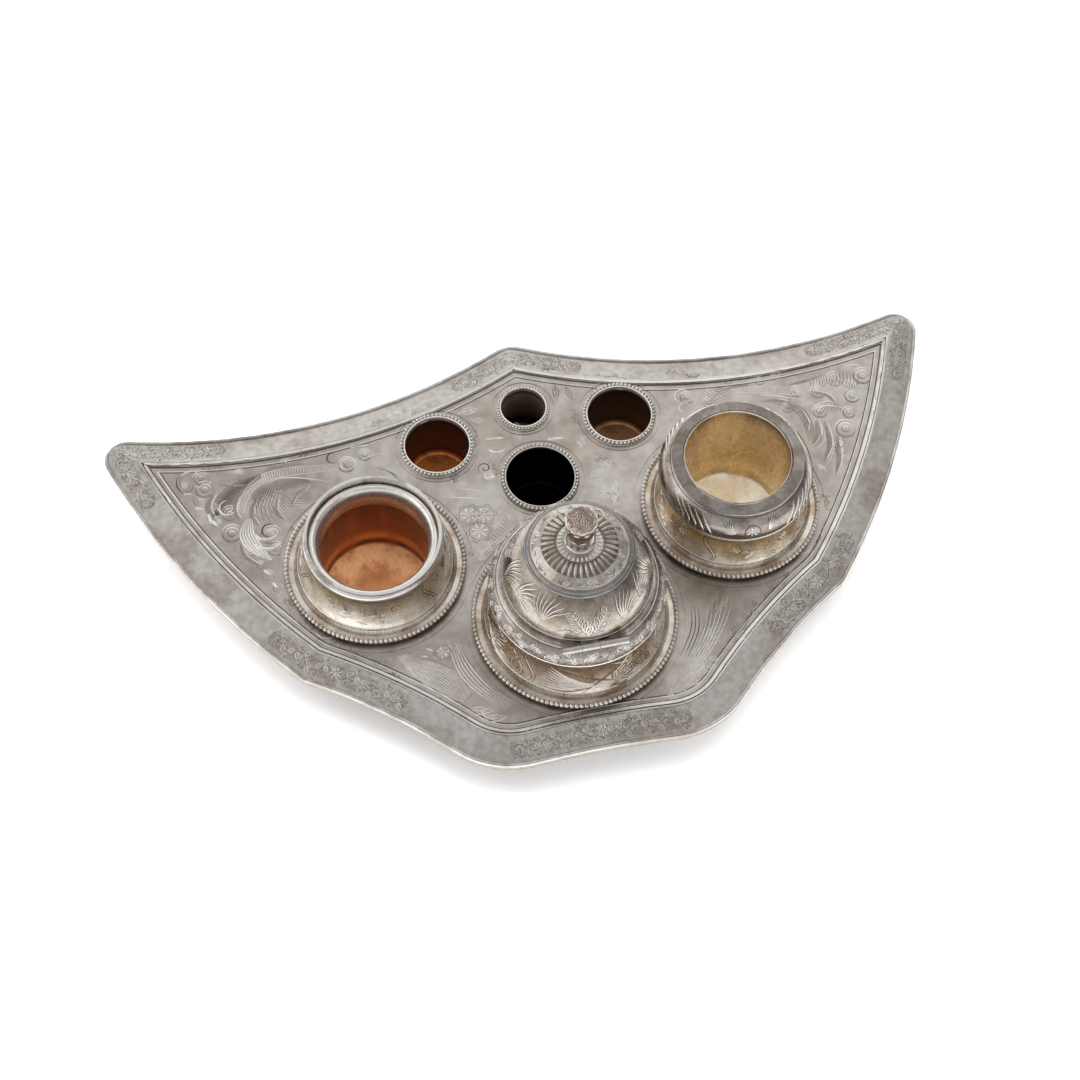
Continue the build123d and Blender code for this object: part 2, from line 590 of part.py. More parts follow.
# ---------------------------------------------------------------- middle pot, hinge and lid
def hinge_line():
    """Depth and height of the hinge pin's axis, from the middle of the pot."""
    return -HINGE_REACH, SHOULDER_TOP + HINGE_RISE


def along_hinge(radius, left, right):
    """A rod along the hinge, between two places."""
    y, z = hinge_line()
    rod = Cylinder(radius, right - left, rotation=(0, 90, 0))
    return Pos((left + right) / 2, y, z) * rod


def block(left, right, front, back, bottom, top):
    """A box between named limits."""
    return Pos((left + right) / 2, (front + back) / 2, (bottom + top) / 2) * Box(
        right - left, back - front, top - bottom)


def middle_knuckle():
    """Where the lid's knuckle starts and ends along the hinge."""
    return (MIDDLE_KNUCKLE_X - MIDDLE_KNUCKLE_LENGTH / 2, MIDDLE_KNUCKLE_X + MIDDLE_KNUCKLE_LENGTH / 2)


def barrel_room():
    """Space that the barrel of the hinge needs in the pieces round it."""
    half = HINGE_LENGTH / 2 + KNUCKLE_GAP
    return along_hinge(KNUCKLE_RADIUS + KNUCKLE_GAP, -half, half)


def pot_leaf_plate():
    half = HINGE_LENGTH / 2
    y, _ = hinge_line()
    return block(-half, half, y, -CENTRE_MOUTH_RADIUS - LEAF_THICKNESS,
                 SHOULDER_TOP - LEAF_THICKNESS, SHOULDER_TOP)


def lid_leaf_plate():
    left, right = middle_knuckle()
    y, _ = hinge_line()
    bottom = SHOULDER_TOP + LID_GAP + BEZEL_PLATE
    return block(left, right, y, -CENTRE_MOUTH_RADIUS + BEZEL_WALL, bottom, bottom + LEAF_THICKNESS)


def centre_shoulder():
    low = CENTRE_SKIRT_HEIGHT
    foot_radius = CENTRE_NECK_RADIUS + SHOULDER_OVERHANG
    plate_inside = CENTRE_NECK_RADIUS - LEDGE_WIDTH
    wall = arc_between((foot_radius, low), (SHOULDER_TOP_RADIUS, SHOULDER_TOP), SHOULDER_SWELL)
    inner_wall = CENTRE_MOUTH_RADIUS + POT_SHEET
    under_top = SHOULDER_TOP - 2 * POT_SHEET
    ledge = SHOULDER_TOP - GLASS_LEDGE_DEPTH
    ledge_inside = GLASS_RADIUS + GLASS_CLEARANCE
    body = turned([(plate_inside, low), wall, (CENTRE_MOUTH_RADIUS, SHOULDER_TOP),
                   (CENTRE_MOUTH_RADIUS, ledge), (ledge_inside, ledge), (ledge_inside, ledge - POT_SHEET),
                   (inner_wall, ledge - POT_SHEET), (inner_wall, under_top),
                   (SHOULDER_TOP_RADIUS - POT_SHEET, under_top),
                   (foot_radius - POT_SHEET, low + SHOULDER_HEIGHT / 2),
                   (foot_radius - POT_SHEET, low + POT_SHEET), (plate_inside, low + POT_SHEET)])
    return body - barrel_room() - pot_leaf_plate()


def centre_ink_glass():
    ledge = SHOULDER_TOP - GLASS_LEDGE_DEPTH
    top = ledge + GLASS_FLANGE_HEIGHT
    flange = CENTRE_MOUTH_RADIUS - GLASS_CLEARANCE
    bore = GLASS_RADIUS - GLASS_WALL
    glass = disc(GLASS_RADIUS, -GLASS_DEPTH, top) + disc(flange, ledge, top)
    return glass - disc(bore, -GLASS_DEPTH + GLASS_WALL, top + 1)


def hinge_pot_leaf():
    left, right = middle_knuckle()
    half = HINGE_LENGTH / 2
    barrel = along_hinge(KNUCKLE_RADIUS, -half, left - KNUCKLE_GAP)
    barrel += along_hinge(KNUCKLE_RADIUS, right + KNUCKLE_GAP, half)
    leaf = barrel + (pot_leaf_plate() - along_hinge(KNUCKLE_RADIUS + KNUCKLE_GAP, left - KNUCKLE_GAP,
                                                    right + KNUCKLE_GAP))
    return leaf - along_hinge(PIN_RADIUS, -half - 1, half + 1)


def hinge_lid_leaf():
    left, right = middle_knuckle()
    leaf = along_hinge(KNUCKLE_RADIUS, left, right) + lid_leaf_plate()
    return leaf - along_hinge(PIN_RADIUS + PIN_CLEARANCE, left - 1, right + 1)


def lid_bezel():
    low = SHOULDER_TOP + LID_GAP
    outside = CENTRE_MOUTH_RADIUS - BEZEL_CLEARANCE
    inside = outside - BEZEL_WALL
    return turned([(inside, low - BEZEL_DROP), (outside, low - BEZEL_DROP), (outside, low),
                   (DOME_RADIUS - POT_SHEET, low), (DOME_RADIUS - POT_SHEET, low + BEZEL_PLATE),
                   (inside, low + BEZEL_PLATE)])


def lid_dome():
    low = SHOULDER_TOP + LID_GAP
    bend = low + BEZEL_PLATE
    top = SHOULDER_TOP + DOME_HEIGHT
    wall = arc_between((DOME_RADIUS, bend), (DOME_TOP_RADIUS, top), DOME_SWELL)
    inner = moved_aside([wall], -POT_SHEET, closed=False)[0]
    dome = turned([(DOME_RADIUS, low), wall, tuple(reversed(inner)), (DOME_RADIUS - POT_SHEET, low)])
    return dome - barrel_room() - lid_leaf_plate()


def lid_cap_rim():
    low = SHOULDER_TOP + DOME_HEIGHT
    edge_radius = CAP_RIM_RADIUS - CAP_RIM_SWELL
    edge = arc_between((edge_radius, low), (edge_radius, low + CAP_RIM_HEIGHT), CAP_RIM_SWELL)
    return turned([(DOME_TOP_RADIUS - POT_SHEET, low), edge,
                   (DOME_TOP_RADIUS - POT_SHEET, low + CAP_RIM_HEIGHT)])


def cap_arc():
    """The cap's outer surface, from its foot to its small flat top."""
    low = SHOULDER_TOP + DOME_HEIGHT + CAP_RIM_HEIGHT
    return arc_between((CAP_RADIUS, low), (CAP_TOP_RADIUS, low + CAP_RISE), CAP_SWELL)


def lid_cap():
    wall = cap_arc()
    inner = moved_aside([wall], -POT_SHEET, closed=False)[0]
    top = wall[2][1]
    bore = STUD_RADIUS + STUD_CLEARANCE
    foot_inside = (CAP_RADIUS - 2 * POT_SHEET, wall[0][1])
    return turned([wall, (bore, top), (bore, top - POT_SHEET), (inner[2][0], top - POT_SHEET),
                   (inner[1][0], inner[1][1]), foot_inside])


def cap_height(radius):
    """Height of the cap's outer surface at a radius."""
    centre = arc_centre(cap_arc())
    reach = hypot(CAP_RADIUS - centre[0], cap_arc()[0][1] - centre[1])
    return centre[1] + sqrt(reach ** 2 - (radius - centre[0]) ** 2)


def fluted_ring():
    outer_low = cap_height(FLUTE_OUTER_RADIUS)
    inner_low = cap_height(FLUTE_INNER_RADIUS)
    middle = (FLUTE_OUTER_RADIUS + FLUTE_INNER_RADIUS) / 2
    seat = ((FLUTE_INNER_RADIUS, inner_low), (middle, cap_height(middle)), (FLUTE_OUTER_RADIUS, outer_low))
    outer_top = outer_low + FLUTE_EDGE
    inner_top = inner_low + FLUTE_THICKNESS
    body = turned([seat, (FLUTE_OUTER_RADIUS, outer_top), (FLUTE_INNER_RADIUS, inner_top)])
    width = (1 - FLUTE_LAND) * 2 * pi * middle / FLUTE_COUNT
    slope = degrees(atan2(inner_top - outer_top, FLUTE_OUTER_RADIUS - FLUTE_INNER_RADIUS))
    groove = Pos(middle, 0, (outer_top + inner_top) / 2) * Rot(0, slope, 0) * Box(
        2 * middle, width, 2 * FLUTE_DEPTH)
    return body - [Rot(0, 0, i * 360 / FLUTE_COUNT) * groove for i in range(FLUTE_COUNT)]


def finial_collar():
    low = cap_arc()[2][1]
    bore = STUD_RADIUS + STUD_CLEARANCE
    top = low + FINIAL_COLLAR_HEIGHT
    edge = arc_between((CAP_TOP_RADIUS, low), (CAP_TOP_RADIUS, top), FINIAL_COLLAR_OVERHANG)
    return turned([(bore, low), edge, (bore, top)])


def crown_arc(radius, base, rise):
    """A low dome's outer surface, from its rim in to the axis."""
    reach = (radius ** 2 + rise ** 2) / (2 * rise)
    half = asin(radius / reach) / 2
    middle = (reach * sin(half), base + rise - reach * (1 - cos(half)))
    return (radius, base), middle, (0.0, base + rise)


def finial_knob():
    low = cap_arc()[2][1] + FINIAL_COLLAR_HEIGHT
    waist = low + KNOB_NECK_HEIGHT
    rim = low + KNOB_HEIGHT - KNOB_CROWN
    neck = arc_between((KNOB_NECK_RADIUS + STUD_STEP, low), (KNOB_FOOT_RADIUS, waist), -KNOB_NECK_SWEEP)
    flank = arc_between((KNOB_FOOT_RADIUS, waist), (KNOB_RADIUS, rim), KNOB_SWELL)
    crown = crown_arc(KNOB_RADIUS, rim, KNOB_CROWN)
    stud_end = low - FINIAL_COLLAR_HEIGHT - POT_SHEET - NUT_HEIGHT
    return turned([(0.0, stud_end), (STUD_RADIUS, stud_end), (STUD_RADIUS, low), neck, flank, crown])


def finial_nut():
    top = cap_arc()[2][1] - POT_SHEET
    nut = slab(RegularPolygon(NUT_ACROSS_CORNERS / 2, 6).face(), NUT_HEIGHT)
    return Pos(0, 0, top - NUT_HEIGHT) * nut - disc(STUD_RADIUS, top - NUT_HEIGHT - 1, top + 1)


# ---------------------------------------------------------------- the whole, piece by piece
def build():
    """Every piece by name, in the tray's building frame."""
    pieces = {"tray_panel": tray_panel(), "border_band": border_band(),
              "inner_moulding": inner_moulding(), "edge_wire": edge_wire()}
    for name, x, y, radius, flange_width in wells():
        pieces[f"well_cup_{name}"] = Pos(x, y, 0) * well_cup(radius, flange_width)
        pieces[f"well_collar_{name}"] = Pos(x, y, 0) * well_collar(radius, flange_width)
    front_foot = (SIDE_CORNER_X - FRONT_FOOT_IN, SIDE_CORNER_Y - FRONT_FOOT_FORWARD)
    back_foot = (WING_TIP_X - BACK_FOOT_IN, WING_TIP_Y - BACK_FOOT_FORWARD)
    for row, (x, y) in (("front", front_foot), ("back", back_foot)):
        for side, sign in (("left", -1), ("right", 1)):
            pieces[f"foot_{row}_{side}"] = Pos(sign * x, y, 0) * foot()

    left = Pos(-POT_X, SIDE_POT_Y, 0)
    right = Pos(POT_X, SIDE_POT_Y, 0)
    centre = Pos(0, CENTRE_POT_Y, 0)
    left_ledge = LEFT_MOUTH_RADIUS - LEDGE_WIDTH
    side_beads = pot_beads(SIDE_POT_RADIUS, SIDE_POT_BEAD_PITCH)
    pieces["left_skirt"] = left * skirt(SIDE_POT_RADIUS, LEFT_NECK_RADIUS, LEFT_SKIRT_HEIGHT, left_ledge)
    pieces["left_bead_ring"] = left * side_beads
    pieces["left_collar"] = left * left_collar()
    pieces["left_liner_flange"] = left * left_liner_flange()
    pieces["left_liner_cup"] = left * left_liner_cup()
    right_ledge = RIGHT_NECK_RADIUS - LEDGE_WIDTH
    pieces["right_skirt"] = right * skirt(SIDE_POT_RADIUS, RIGHT_NECK_RADIUS, RIGHT_SKIRT_HEIGHT, right_ledge)
    pieces["right_bead_ring"] = right * side_beads
    pieces["right_bulge"] = right * right_bulge()
    pieces["right_rim"] = right * right_rim()
    pieces["right_cup"] = right * right_cup()
    centre_ledge = CENTRE_NECK_RADIUS - LEDGE_WIDTH
    pieces["centre_skirt"] = centre * skirt(CENTRE_POT_RADIUS, CENTRE_NECK_RADIUS, CENTRE_SKIRT_HEIGHT,
                                            centre_ledge)
    pieces["centre_bead_ring"] = centre * pot_beads(CENTRE_POT_RADIUS, CENTRE_POT_BEAD_PITCH)
    pieces["centre_shoulder"] = centre * centre_shoulder()
    pieces["centre_ink_glass"] = centre * centre_ink_glass()
    pieces["hinge_pot_leaf"] = centre * hinge_pot_leaf()
    pieces["hinge_pin"] = centre * along_hinge(PIN_RADIUS, -HINGE_LENGTH / 2, HINGE_LENGTH / 2)
    pieces["hinge_lid_leaf"] = centre * hinge_lid_leaf()
    pieces["lid_bezel"] = centre * lid_bezel()
    pieces["lid_dome"] = centre * lid_dome()
    pieces["lid_cap_rim"] = centre * lid_cap_rim()
    pieces["lid_cap"] = centre * lid_cap()
    pieces["fluted_ring"] = centre * fluted_ring()
    pieces["finial_collar"] = centre * finial_collar()
    pieces["finial_knob"] = centre * finial_knob()
    pieces["finial_nut"] = centre * finial_nut()
    return pieces


pieces = build()
tray_middle = pieces["edge_wire"].bounding_box().center().Y
to_origin = Pos(0, -tray_middle, STAND_HEIGHT)
for name, piece in pieces.items():
    export_step(to_origin * piece, f"parts/{name}.step")
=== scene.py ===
"""Looks of the desk inkstand: a chased silver tray with beaded wells, three pots and a domed lid.

Places are in millimetres in the part's own frame: x to the right, y to the back, z up from the table.
"""
import logging
from collections.abc import Callable, Sequence
from dataclasses import dataclass, field
from enum import Enum
from functools import partial
from math import atan2, ceil, cos, hypot, pi, radians, sin, sqrt, tau
from typing import NamedTuple

import bpy
import numpy as np
from mathutils import Matrix, Vector
from mathutils.bvhtree import BVHTree


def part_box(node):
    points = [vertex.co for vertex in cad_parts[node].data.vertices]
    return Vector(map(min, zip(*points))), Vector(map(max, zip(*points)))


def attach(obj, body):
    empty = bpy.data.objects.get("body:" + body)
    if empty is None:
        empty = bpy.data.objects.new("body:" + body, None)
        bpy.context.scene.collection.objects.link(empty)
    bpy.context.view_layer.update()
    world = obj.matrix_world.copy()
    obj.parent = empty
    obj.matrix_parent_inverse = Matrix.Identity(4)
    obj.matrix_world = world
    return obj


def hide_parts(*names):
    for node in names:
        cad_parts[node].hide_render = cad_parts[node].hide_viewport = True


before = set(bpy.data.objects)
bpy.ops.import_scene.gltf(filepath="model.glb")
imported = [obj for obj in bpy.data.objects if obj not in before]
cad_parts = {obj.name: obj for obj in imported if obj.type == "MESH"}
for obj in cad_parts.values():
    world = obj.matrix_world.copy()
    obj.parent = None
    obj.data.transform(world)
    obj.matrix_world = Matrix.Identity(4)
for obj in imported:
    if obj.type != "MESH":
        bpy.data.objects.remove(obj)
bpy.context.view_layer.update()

log = logging.getLogger("inkstand")

Piece = bpy.types.Object
Socket = bpy.types.NodeSocket
Point = tuple[float, float]
Place = tuple[float, float, float]
Colour = tuple[float, float, float]

MM = 0.001
TINY = 1e-6                    # lengths below this count as nothing
GOLDEN_TURN = 2.39996          # radians from one grain to the next that fill a disc evenly
GRAIN_HEIGHT = 0.45            # height of a grain over its radius

# how strongly every finish shows its wear
STAIN_SHARE = 0.6              # how far a stained patch turns to the tarnish's colour
MOTTLE_SHARE = 0.16            # how strong the fine mottling is
ROUGH_SWING = 0.24             # how far smears change the roughness
DULL_METAL = 0.15              # how metallic a surface is under a dull film
DENT_SIZE = 7.0
RING_SIZE = 0.7                # width of a turning mark


def metres(x: float, y: float, z: float = 0.0) -> Place:
    """A place in metres, from one in millimetres."""
    return x * MM, y * MM, z * MM


def each(tool: Callable[..., None], *rows: tuple) -> None:
    """Uses a tool once for each row of its arguments."""
    for row in rows:
        tool(*row)


class Body(Enum):
    """The bodies that pieces ride on."""
    TRAY = "root"
    LEFT_POT = "left_pot"
    LEFT_LINER = "left_liner"
    RIGHT_POT = "right_pot"
    CENTRE_POT = "centre_pot"
    LID = "lid"


# ---- places read from the frame
def axis_of(node: str) -> Point:
    """Middle of a round node, seen from above."""
    low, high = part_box(node)
    return (low.x + high.x) / 2 / MM, (low.y + high.y) / 2 / MM


def radius_of(node: str) -> float:
    """Outer radius of a round node."""
    low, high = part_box(node)
    return (high.x - low.x) / 2 / MM


def span_of(node: str) -> Point:
    """Lowest and highest place of a node."""
    low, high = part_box(node)
    return low.z / MM, high.z / MM


PANEL = span_of("tray_panel")[1]       # height of the panel's top over the table
CENTRE = axis_of("centre_skirt")
LEFT = axis_of("left_skirt")
RIGHT = axis_of("right_skirt")


# ---- finishes
def linear(colour: Colour) -> Colour:
    """Turns a colour as a screen shows it, 0 to 1, into the linear light that nodes reckon in."""
    return tuple(c / 12.92 if c <= 0.04045 else ((c + 0.055) / 1.055) ** 2.4 for c in colour)


class Nodes:
    """Puts together the nodes of one tree."""

    def __init__(self, tree: bpy.types.NodeTree) -> None:
        """Starts with an empty tree."""
        self.tree = tree
        tree.nodes.clear()

    def add(self, kind: str, *fed: object, **settings: object) -> bpy.types.Node:
        """Adds a node.

        Args:
            kind: the node's type.
            fed: what its first sockets take, in order.
            settings: its properties.

        Returns:
            The node.
        """
        node = self.tree.nodes.new(kind)
        for name, value in settings.items():
            setattr(node, name, value)
        for socket, value in zip(node.inputs, fed):
            self.feed(socket, value)
        return node

    def feed(self, socket: Socket, value: object) -> None:
        """Links a socket to another, or sets it to a plain value.

        Args:
            socket: what is fed.
            value: a socket or a plain value.
        """
        if isinstance(value, Socket):
            self.tree.links.new(value, socket)
        elif isinstance(value, tuple) and len(value) == 3 and socket.type == "RGBA":
            socket.default_value = (*value, 1.0)
        else:
            socket.default_value = value

    def math(self, operation: str, a: object, b: object = 0.0, clamp: bool = False) -> Socket:
        """The result of an operation on two values, which clamp keeps between 0 and 1."""
        return self.add("ShaderNodeMath", a, b, operation=operation, use_clamp=clamp).outputs[0]

    def place(self, centre: Point) -> Socket:
        """Object coordinates, moved so that a place on the plan is their origin."""
        coordinates = self.add("ShaderNodeTexCoord").outputs["Object"]
        return self.add("ShaderNodeVectorMath", coordinates, metres(*centre), operation="SUBTRACT").outputs[0]

    def apart(self, vector: Socket) -> tuple[Socket, ...]:
        """The x, y and z of a vector."""
        return tuple(self.add("ShaderNodeSeparateXYZ", vector).outputs)

    def together(self, x: object, y: object, z: object) -> Socket:
        """A vector of three values."""
        return self.add("ShaderNodeCombineXYZ", x, y, z).outputs[0]

    def noise(self, vector: object, size: float, detail: float = 3.0,
              stretch: Sequence[float] = (1.0, 1.0, 1.0)) -> Socket:
        """Noise whose patches have a size.

        Args:
            vector: where it is read.
            size: size of a patch in millimetres.
            detail: finer layers in it.
            stretch: how much longer a patch is along x, y and z.

        Returns:
            The noise's value, about 0.3 to 0.7.
        """
        scales = tuple(1.0 / (size * MM * s) for s in stretch)
        scaled = self.add("ShaderNodeVectorMath", vector, scales, operation="MULTIPLY")
        node = self.add("ShaderNodeTexNoise", scaled.outputs[0])
        node.inputs["Scale"].default_value = 1.0
        node.inputs["Detail"].default_value = detail
        return node.outputs["Fac"]

    def stretch_range(self, value: object, low: float, high: float) -> Socket:
        """Maps low to 0 and high to 1, smoothly, and clamps."""
        node = self.add("ShaderNodeMapRange", value, low, high, interpolation_type="SMOOTHSTEP")
        return node.outputs["Result"]

    def mix(self, share: object, a: object, b: object, blend: str = "MIX") -> Socket:
        """A colour between two.

        Args:
            share: how much of the second there is.
            a: first colour.
            b: second colour.
            blend: how the second goes over the first.

        Returns:
            The mixed colour.
        """
        node = self.add("ShaderNodeMix", data_type="RGBA", blend_type=blend)
        self.feed(node.inputs["Factor"], share)
        self.feed(node.inputs["A"], a)
        self.feed(node.inputs["B"], b)
        return node.outputs["Result"]

    def ramp(self, value: object, stops: Sequence[tuple[float, Colour]]) -> Socket:
        """A colour that changes with a value between 0 and 1.

        Args:
            value: what picks the colour.
            stops: values with their colours, low to high.

        Returns:
            The colour.
        """
        node = self.add("ShaderNodeValToRGB")
        elements = node.color_ramp.elements
        while len(elements) < len(stops):
            elements.new(1.0)
        for element, (place, colour) in zip(elements, stops):
            element.position = place
            element.color = (*colour, 1.0)
        self.feed(node.inputs["Fac"], value)
        return node.outputs["Color"]

    def bump(self, height: object, depth: float, under: object = None) -> Socket:
        """A bumped normal, whose height runs from 0 to a depth in millimetres.

        Args:
            height: what is read as height, 0 to 1.
            depth: depth of it in millimetres.
            under: the normal that it goes over.

        Returns:
            The bumped normal.
        """
        node = self.add("ShaderNodeBump")
        node.inputs["Strength"].default_value = 1.0
        node.inputs["Distance"].default_value = depth * MM
        self.feed(node.inputs["Height"], height)
        if under is not None:
            self.feed(node.inputs["Normal"], under)
        return node.outputs["Normal"]

    def from_axis(self, x: object, y: object) -> Socket:
        """Distance from the upright axis through the origin."""
        squares = (self.math("MULTIPLY", value, value) for value in (x, y))
        return self.math("SQRT", self.math("ADD", *squares))

    def seen(self) -> Socket:
        """1 for rays that metal or glass sends on."""
        path = self.add("ShaderNodeLightPath")
        return self.math("MAXIMUM", path.outputs["Is Glossy Ray"], path.outputs["Is Transmission Ray"])


class Bench(Nodes):
    """Puts together the nodes of one material."""

    def __init__(self, name: str) -> None:
        """Starts a material with a shader.

        Args:
            name: name of the material.
        """
        self.material = bpy.data.materials.new(name)
        self.material.use_nodes = True
        super().__init__(self.material.node_tree)
        self.shader = self.add("ShaderNodeBsdfPrincipled")
        output = self.add("ShaderNodeOutputMaterial")
        self.tree.links.new(self.shader.outputs["BSDF"], output.inputs["Surface"])


@dataclass(frozen=True)
class Finish:
    """A worn metal surface.

    Attributes:
        name: name of the material.
        heights: colours, as a screen shows them, at heights over the table, low to high.
        roughness: how matt it is.
        tarnish: colour of its stained patches.
        stain: share of it that is stained, 0 to 1.
        patch: size of the patches in millimetres.
        axis: where it was turned, seen from above.
        turning: depth in millimetres of turning marks round the axis.
        scratches: depth of fine straight scratches.
        spot: radius of a darker round spot about the axis, or 0.
        dents: depth of soft, broad dents from spinning and wear.
        metal: 1 for bare metal, less under a dull film.
        flow: how many times shorter its patches are upright than along.
        dull_below: height over the table below which a dull film covers it.
    """
    name: str
    heights: tuple[tuple[float, Colour], ...]
    roughness: float
    tarnish: Colour = (0.36, 0.30, 0.23)
    stain: float = 0.3
    patch: float = 14.0
    axis: Point = (0.0, 0.0)
    turning: float = 0.0
    scratches: float = 0.0
    spot: float = 0.0
    dents: float = 0.0
    metal: float = 1.0
    flow: float = 1.0
    dull_below: float = 0.0

    def material(self) -> bpy.types.Material:
        """Makes the material, or gives the one that is there.

        Returns:
            The material.
        """
        known = bpy.data.materials.get(self.name)
        if known is not None:
            return known
        bench = Bench(self.name)
        place = bench.place(self.axis)
        x, y, z = bench.apart(place)
        low, high = self.heights[0][0], self.heights[-1][0]
        if len(self.heights) > 1:
            stops = [((h - low) / (high - low), linear(colour)) for h, colour in self.heights]
            height = bench.math("DIVIDE", bench.math("SUBTRACT", z, low * MM), (high - low) * MM, clamp=True)
            colour = bench.ramp(height, stops)
        else:
            colour = linear(self.heights[0][1])
        stained = linear(self.tarnish)
        cloud = bench.noise(place, self.patch, detail=5.0, stretch=(1.0, 1.0, self.flow))
        edge = 0.72 - 0.42 * self.stain
        colour = bench.mix(bench.math("MULTIPLY", bench.stretch_range(cloud, edge - 0.1, edge + 0.12),
                                      STAIN_SHARE), colour, stained)
        mottle = bench.stretch_range(bench.noise(place, self.patch / 6, detail=4.0), 0.3, 0.7)
        colour = bench.mix(MOTTLE_SHARE, colour,
                           bench.ramp(mottle, [(0.0, (0.1, 0.1, 0.1)), (1.0, (1.0, 1.0, 1.0))]), "OVERLAY")
        if self.spot:
            radius = bench.from_axis(x, y)
            inside = bench.stretch_range(radius, self.spot * MM, 0.4 * self.spot * MM)
            colour = bench.mix(bench.math("MULTIPLY", inside, STAIN_SHARE), colour, stained)
        bench.feed(bench.shader.inputs["Base Color"], colour)
        bench.shader.inputs["Metallic"].default_value = self.metal
        if self.dull_below:
            clear = bench.stretch_range(z, self.dull_below * MM, (self.dull_below + 1.0) * MM)
            bench.feed(bench.shader.inputs["Metallic"],
                       bench.math("ADD", DULL_METAL, bench.math("MULTIPLY", clear, self.metal - DULL_METAL)))
        smear = bench.noise(place, self.patch / 3, detail=6.0)
        rough = bench.math("ADD", self.roughness - ROUGH_SWING / 2,
                           bench.math("MULTIPLY", smear, ROUGH_SWING), clamp=True)
        bench.feed(bench.shader.inputs["Roughness"], rough)
        normal = None
        if self.dents:
            normal = bench.bump(bench.noise(place, DENT_SIZE, detail=3.0), self.dents)
        if self.turning:
            radius = bench.from_axis(x, y)
            rings = bench.together(radius, bench.math("MULTIPLY", radius, 0.7), z)
            normal = bench.bump(bench.noise(rings, RING_SIZE, detail=3.0), self.turning, normal)
        if self.scratches:
            fine = bench.noise(place, 0.12, detail=2.0, stretch=(60.0, 1.4, 1.0))
            cross = bench.noise(place, 0.14, detail=2.0, stretch=(1.2, 40.0, 1.0))
            both = bench.math("ADD", fine, bench.math("MULTIPLY", cross, 0.6))
            normal = bench.bump(both, self.scratches, normal)
        if normal is not None:
            bench.feed(bench.shader.inputs["Normal"], normal)
        return bench.material


SILVER_PANEL = Finish("panel_silver", ((28.0, (0.76, 0.735, 0.705)),), 0.36, (0.66, 0.61, 0.57), 0.5, 30.0,
                      scratches=0.02)
SILVER_BAND = Finish("band_silver", ((21.0, (0.57, 0.50, 0.435)), (23.5, (0.70, 0.67, 0.64)),
                                     (27.0, (0.77, 0.75, 0.725))), 0.34,
                     (0.62, 0.575, 0.53), 0.35, 15.0, scratches=0.012)
SILVER_EDGE = Finish("edge_silver", ((27.0, (0.82, 0.81, 0.795)),), 0.24, (0.56, 0.51, 0.46), 0.45, 16.0)
HOLLOW_LIGHT = Finish("hollow_light", ((28.0, (0.885, 0.87, 0.855)),), 0.36, (0.80, 0.77, 0.74), 0.5, 6.0)
HOLLOW_SHADE = Finish("hollow_shade", ((28.0, (0.63, 0.60, 0.565)),), 0.4, (0.54, 0.50, 0.46), 0.4, 8.0)
# lighter than the silver: a painted glint on bright-cut lines, reed tops, border leaves and petals
GLINT_CUT = Finish("glint_cut", ((28.0, (0.90, 0.885, 0.865)),), 0.28, (0.76, 0.72, 0.68), 0.35, 9.0)
# darker than the silver: partly tarnish in the cut lines, partly painted shade along them
DARK_CUT = Finish("dark_cut", ((28.0, (0.40, 0.37, 0.34)),), 0.4, (0.32, 0.28, 0.25), 0.3, 9.0)
BROWN_CUT = Finish("brown_cut", ((28.0, (0.56, 0.47, 0.38)),), 0.34, (0.44, 0.35, 0.27), 0.4, 9.0)
SOFT_CUT = Finish("soft_cut", ((28.0, (0.58, 0.55, 0.52)),), 0.34, (0.50, 0.45, 0.41), 0.3, 9.0)
PEARL = Finish("pearl_silver", ((28.0, (0.90, 0.885, 0.86)),), 0.24, (0.66, 0.60, 0.53), 0.35, 8.0)
# darker than the border: partly tarnish in the punched ground, partly painted shade between its grains
GROUND = Finish("punched_ground", ((25.0, (0.69, 0.665, 0.63)),), 0.4, (0.55, 0.505, 0.46), 0.35, 6.0)
# darker than the pearls: painted shade between and under them
WIRE = Finish("bead_wire", ((28.0, (0.62, 0.59, 0.55)),), 0.34, (0.42, 0.37, 0.32), 0.4, 5.0)
FEET = Finish("feet_silver", ((10.0, (0.74, 0.72, 0.69)),), 0.33, (0.5, 0.44, 0.38), 0.4, 10.0)
STEEL = Finish("dark_steel", ((60.0, (0.50, 0.48, 0.46)),), 0.38)
NUT = Finish("brass_nut", ((80.0, (0.80, 0.71, 0.54)),), 0.34)


# ---- making pieces
def alone(piece: Piece) -> None:
    """Selects one piece and nothing else.

    Args:
        piece: the one.
    """
    bpy.ops.object.select_all(action="DESELECT")
    piece.select_set(True)
    bpy.context.view_layer.objects.active = piece


def settled(piece: Piece, finish: Finish, body: Body, slot: str, *nodes: str,
            crease: float = 35.0) -> Piece:
    """Finishes a piece: place in its mesh, smooth shading, material and body.

    Args:
        piece: the mesh object.
        finish: its surface.
        body: what it rides on.
        slot: not used.
        nodes: CAD nodes that it stands for.
        crease: edges sharper than this many degrees stay sharp.

    Returns:
        The piece.
    """
    alone(piece)
    bpy.ops.object.transform_apply(location=True, rotation=True, scale=True)
    bpy.ops.object.shade_smooth_by_angle(angle=radians(crease))
    piece.data.materials.clear()
    piece.data.materials.append(finish.material())
    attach(piece, body.value)
    if nodes:
        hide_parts(*nodes)
    log.info("%s: %d faces, on %s", piece.name, len(piece.data.polygons), body.value)
    return piece


def merged_copy(node: str) -> Piece:
    """A copy of a CAD node whose loose triangles are joined.

    Args:
        node: name of the CAD node.

    Returns:
        The copy.
    """
    piece = bpy.data.objects.new(f"{node}_skin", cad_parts[node].data.copy())
    bpy.context.scene.collection.objects.link(piece)
    alone(piece)
    bpy.ops.mesh.customdata_custom_splitnormals_clear()
    bpy.ops.object.mode_set(mode="EDIT")
    bpy.ops.mesh.select_all(action="SELECT")
    bpy.ops.mesh.remove_doubles(threshold=TINY)
    bpy.ops.object.mode_set(mode="OBJECT")
    return piece


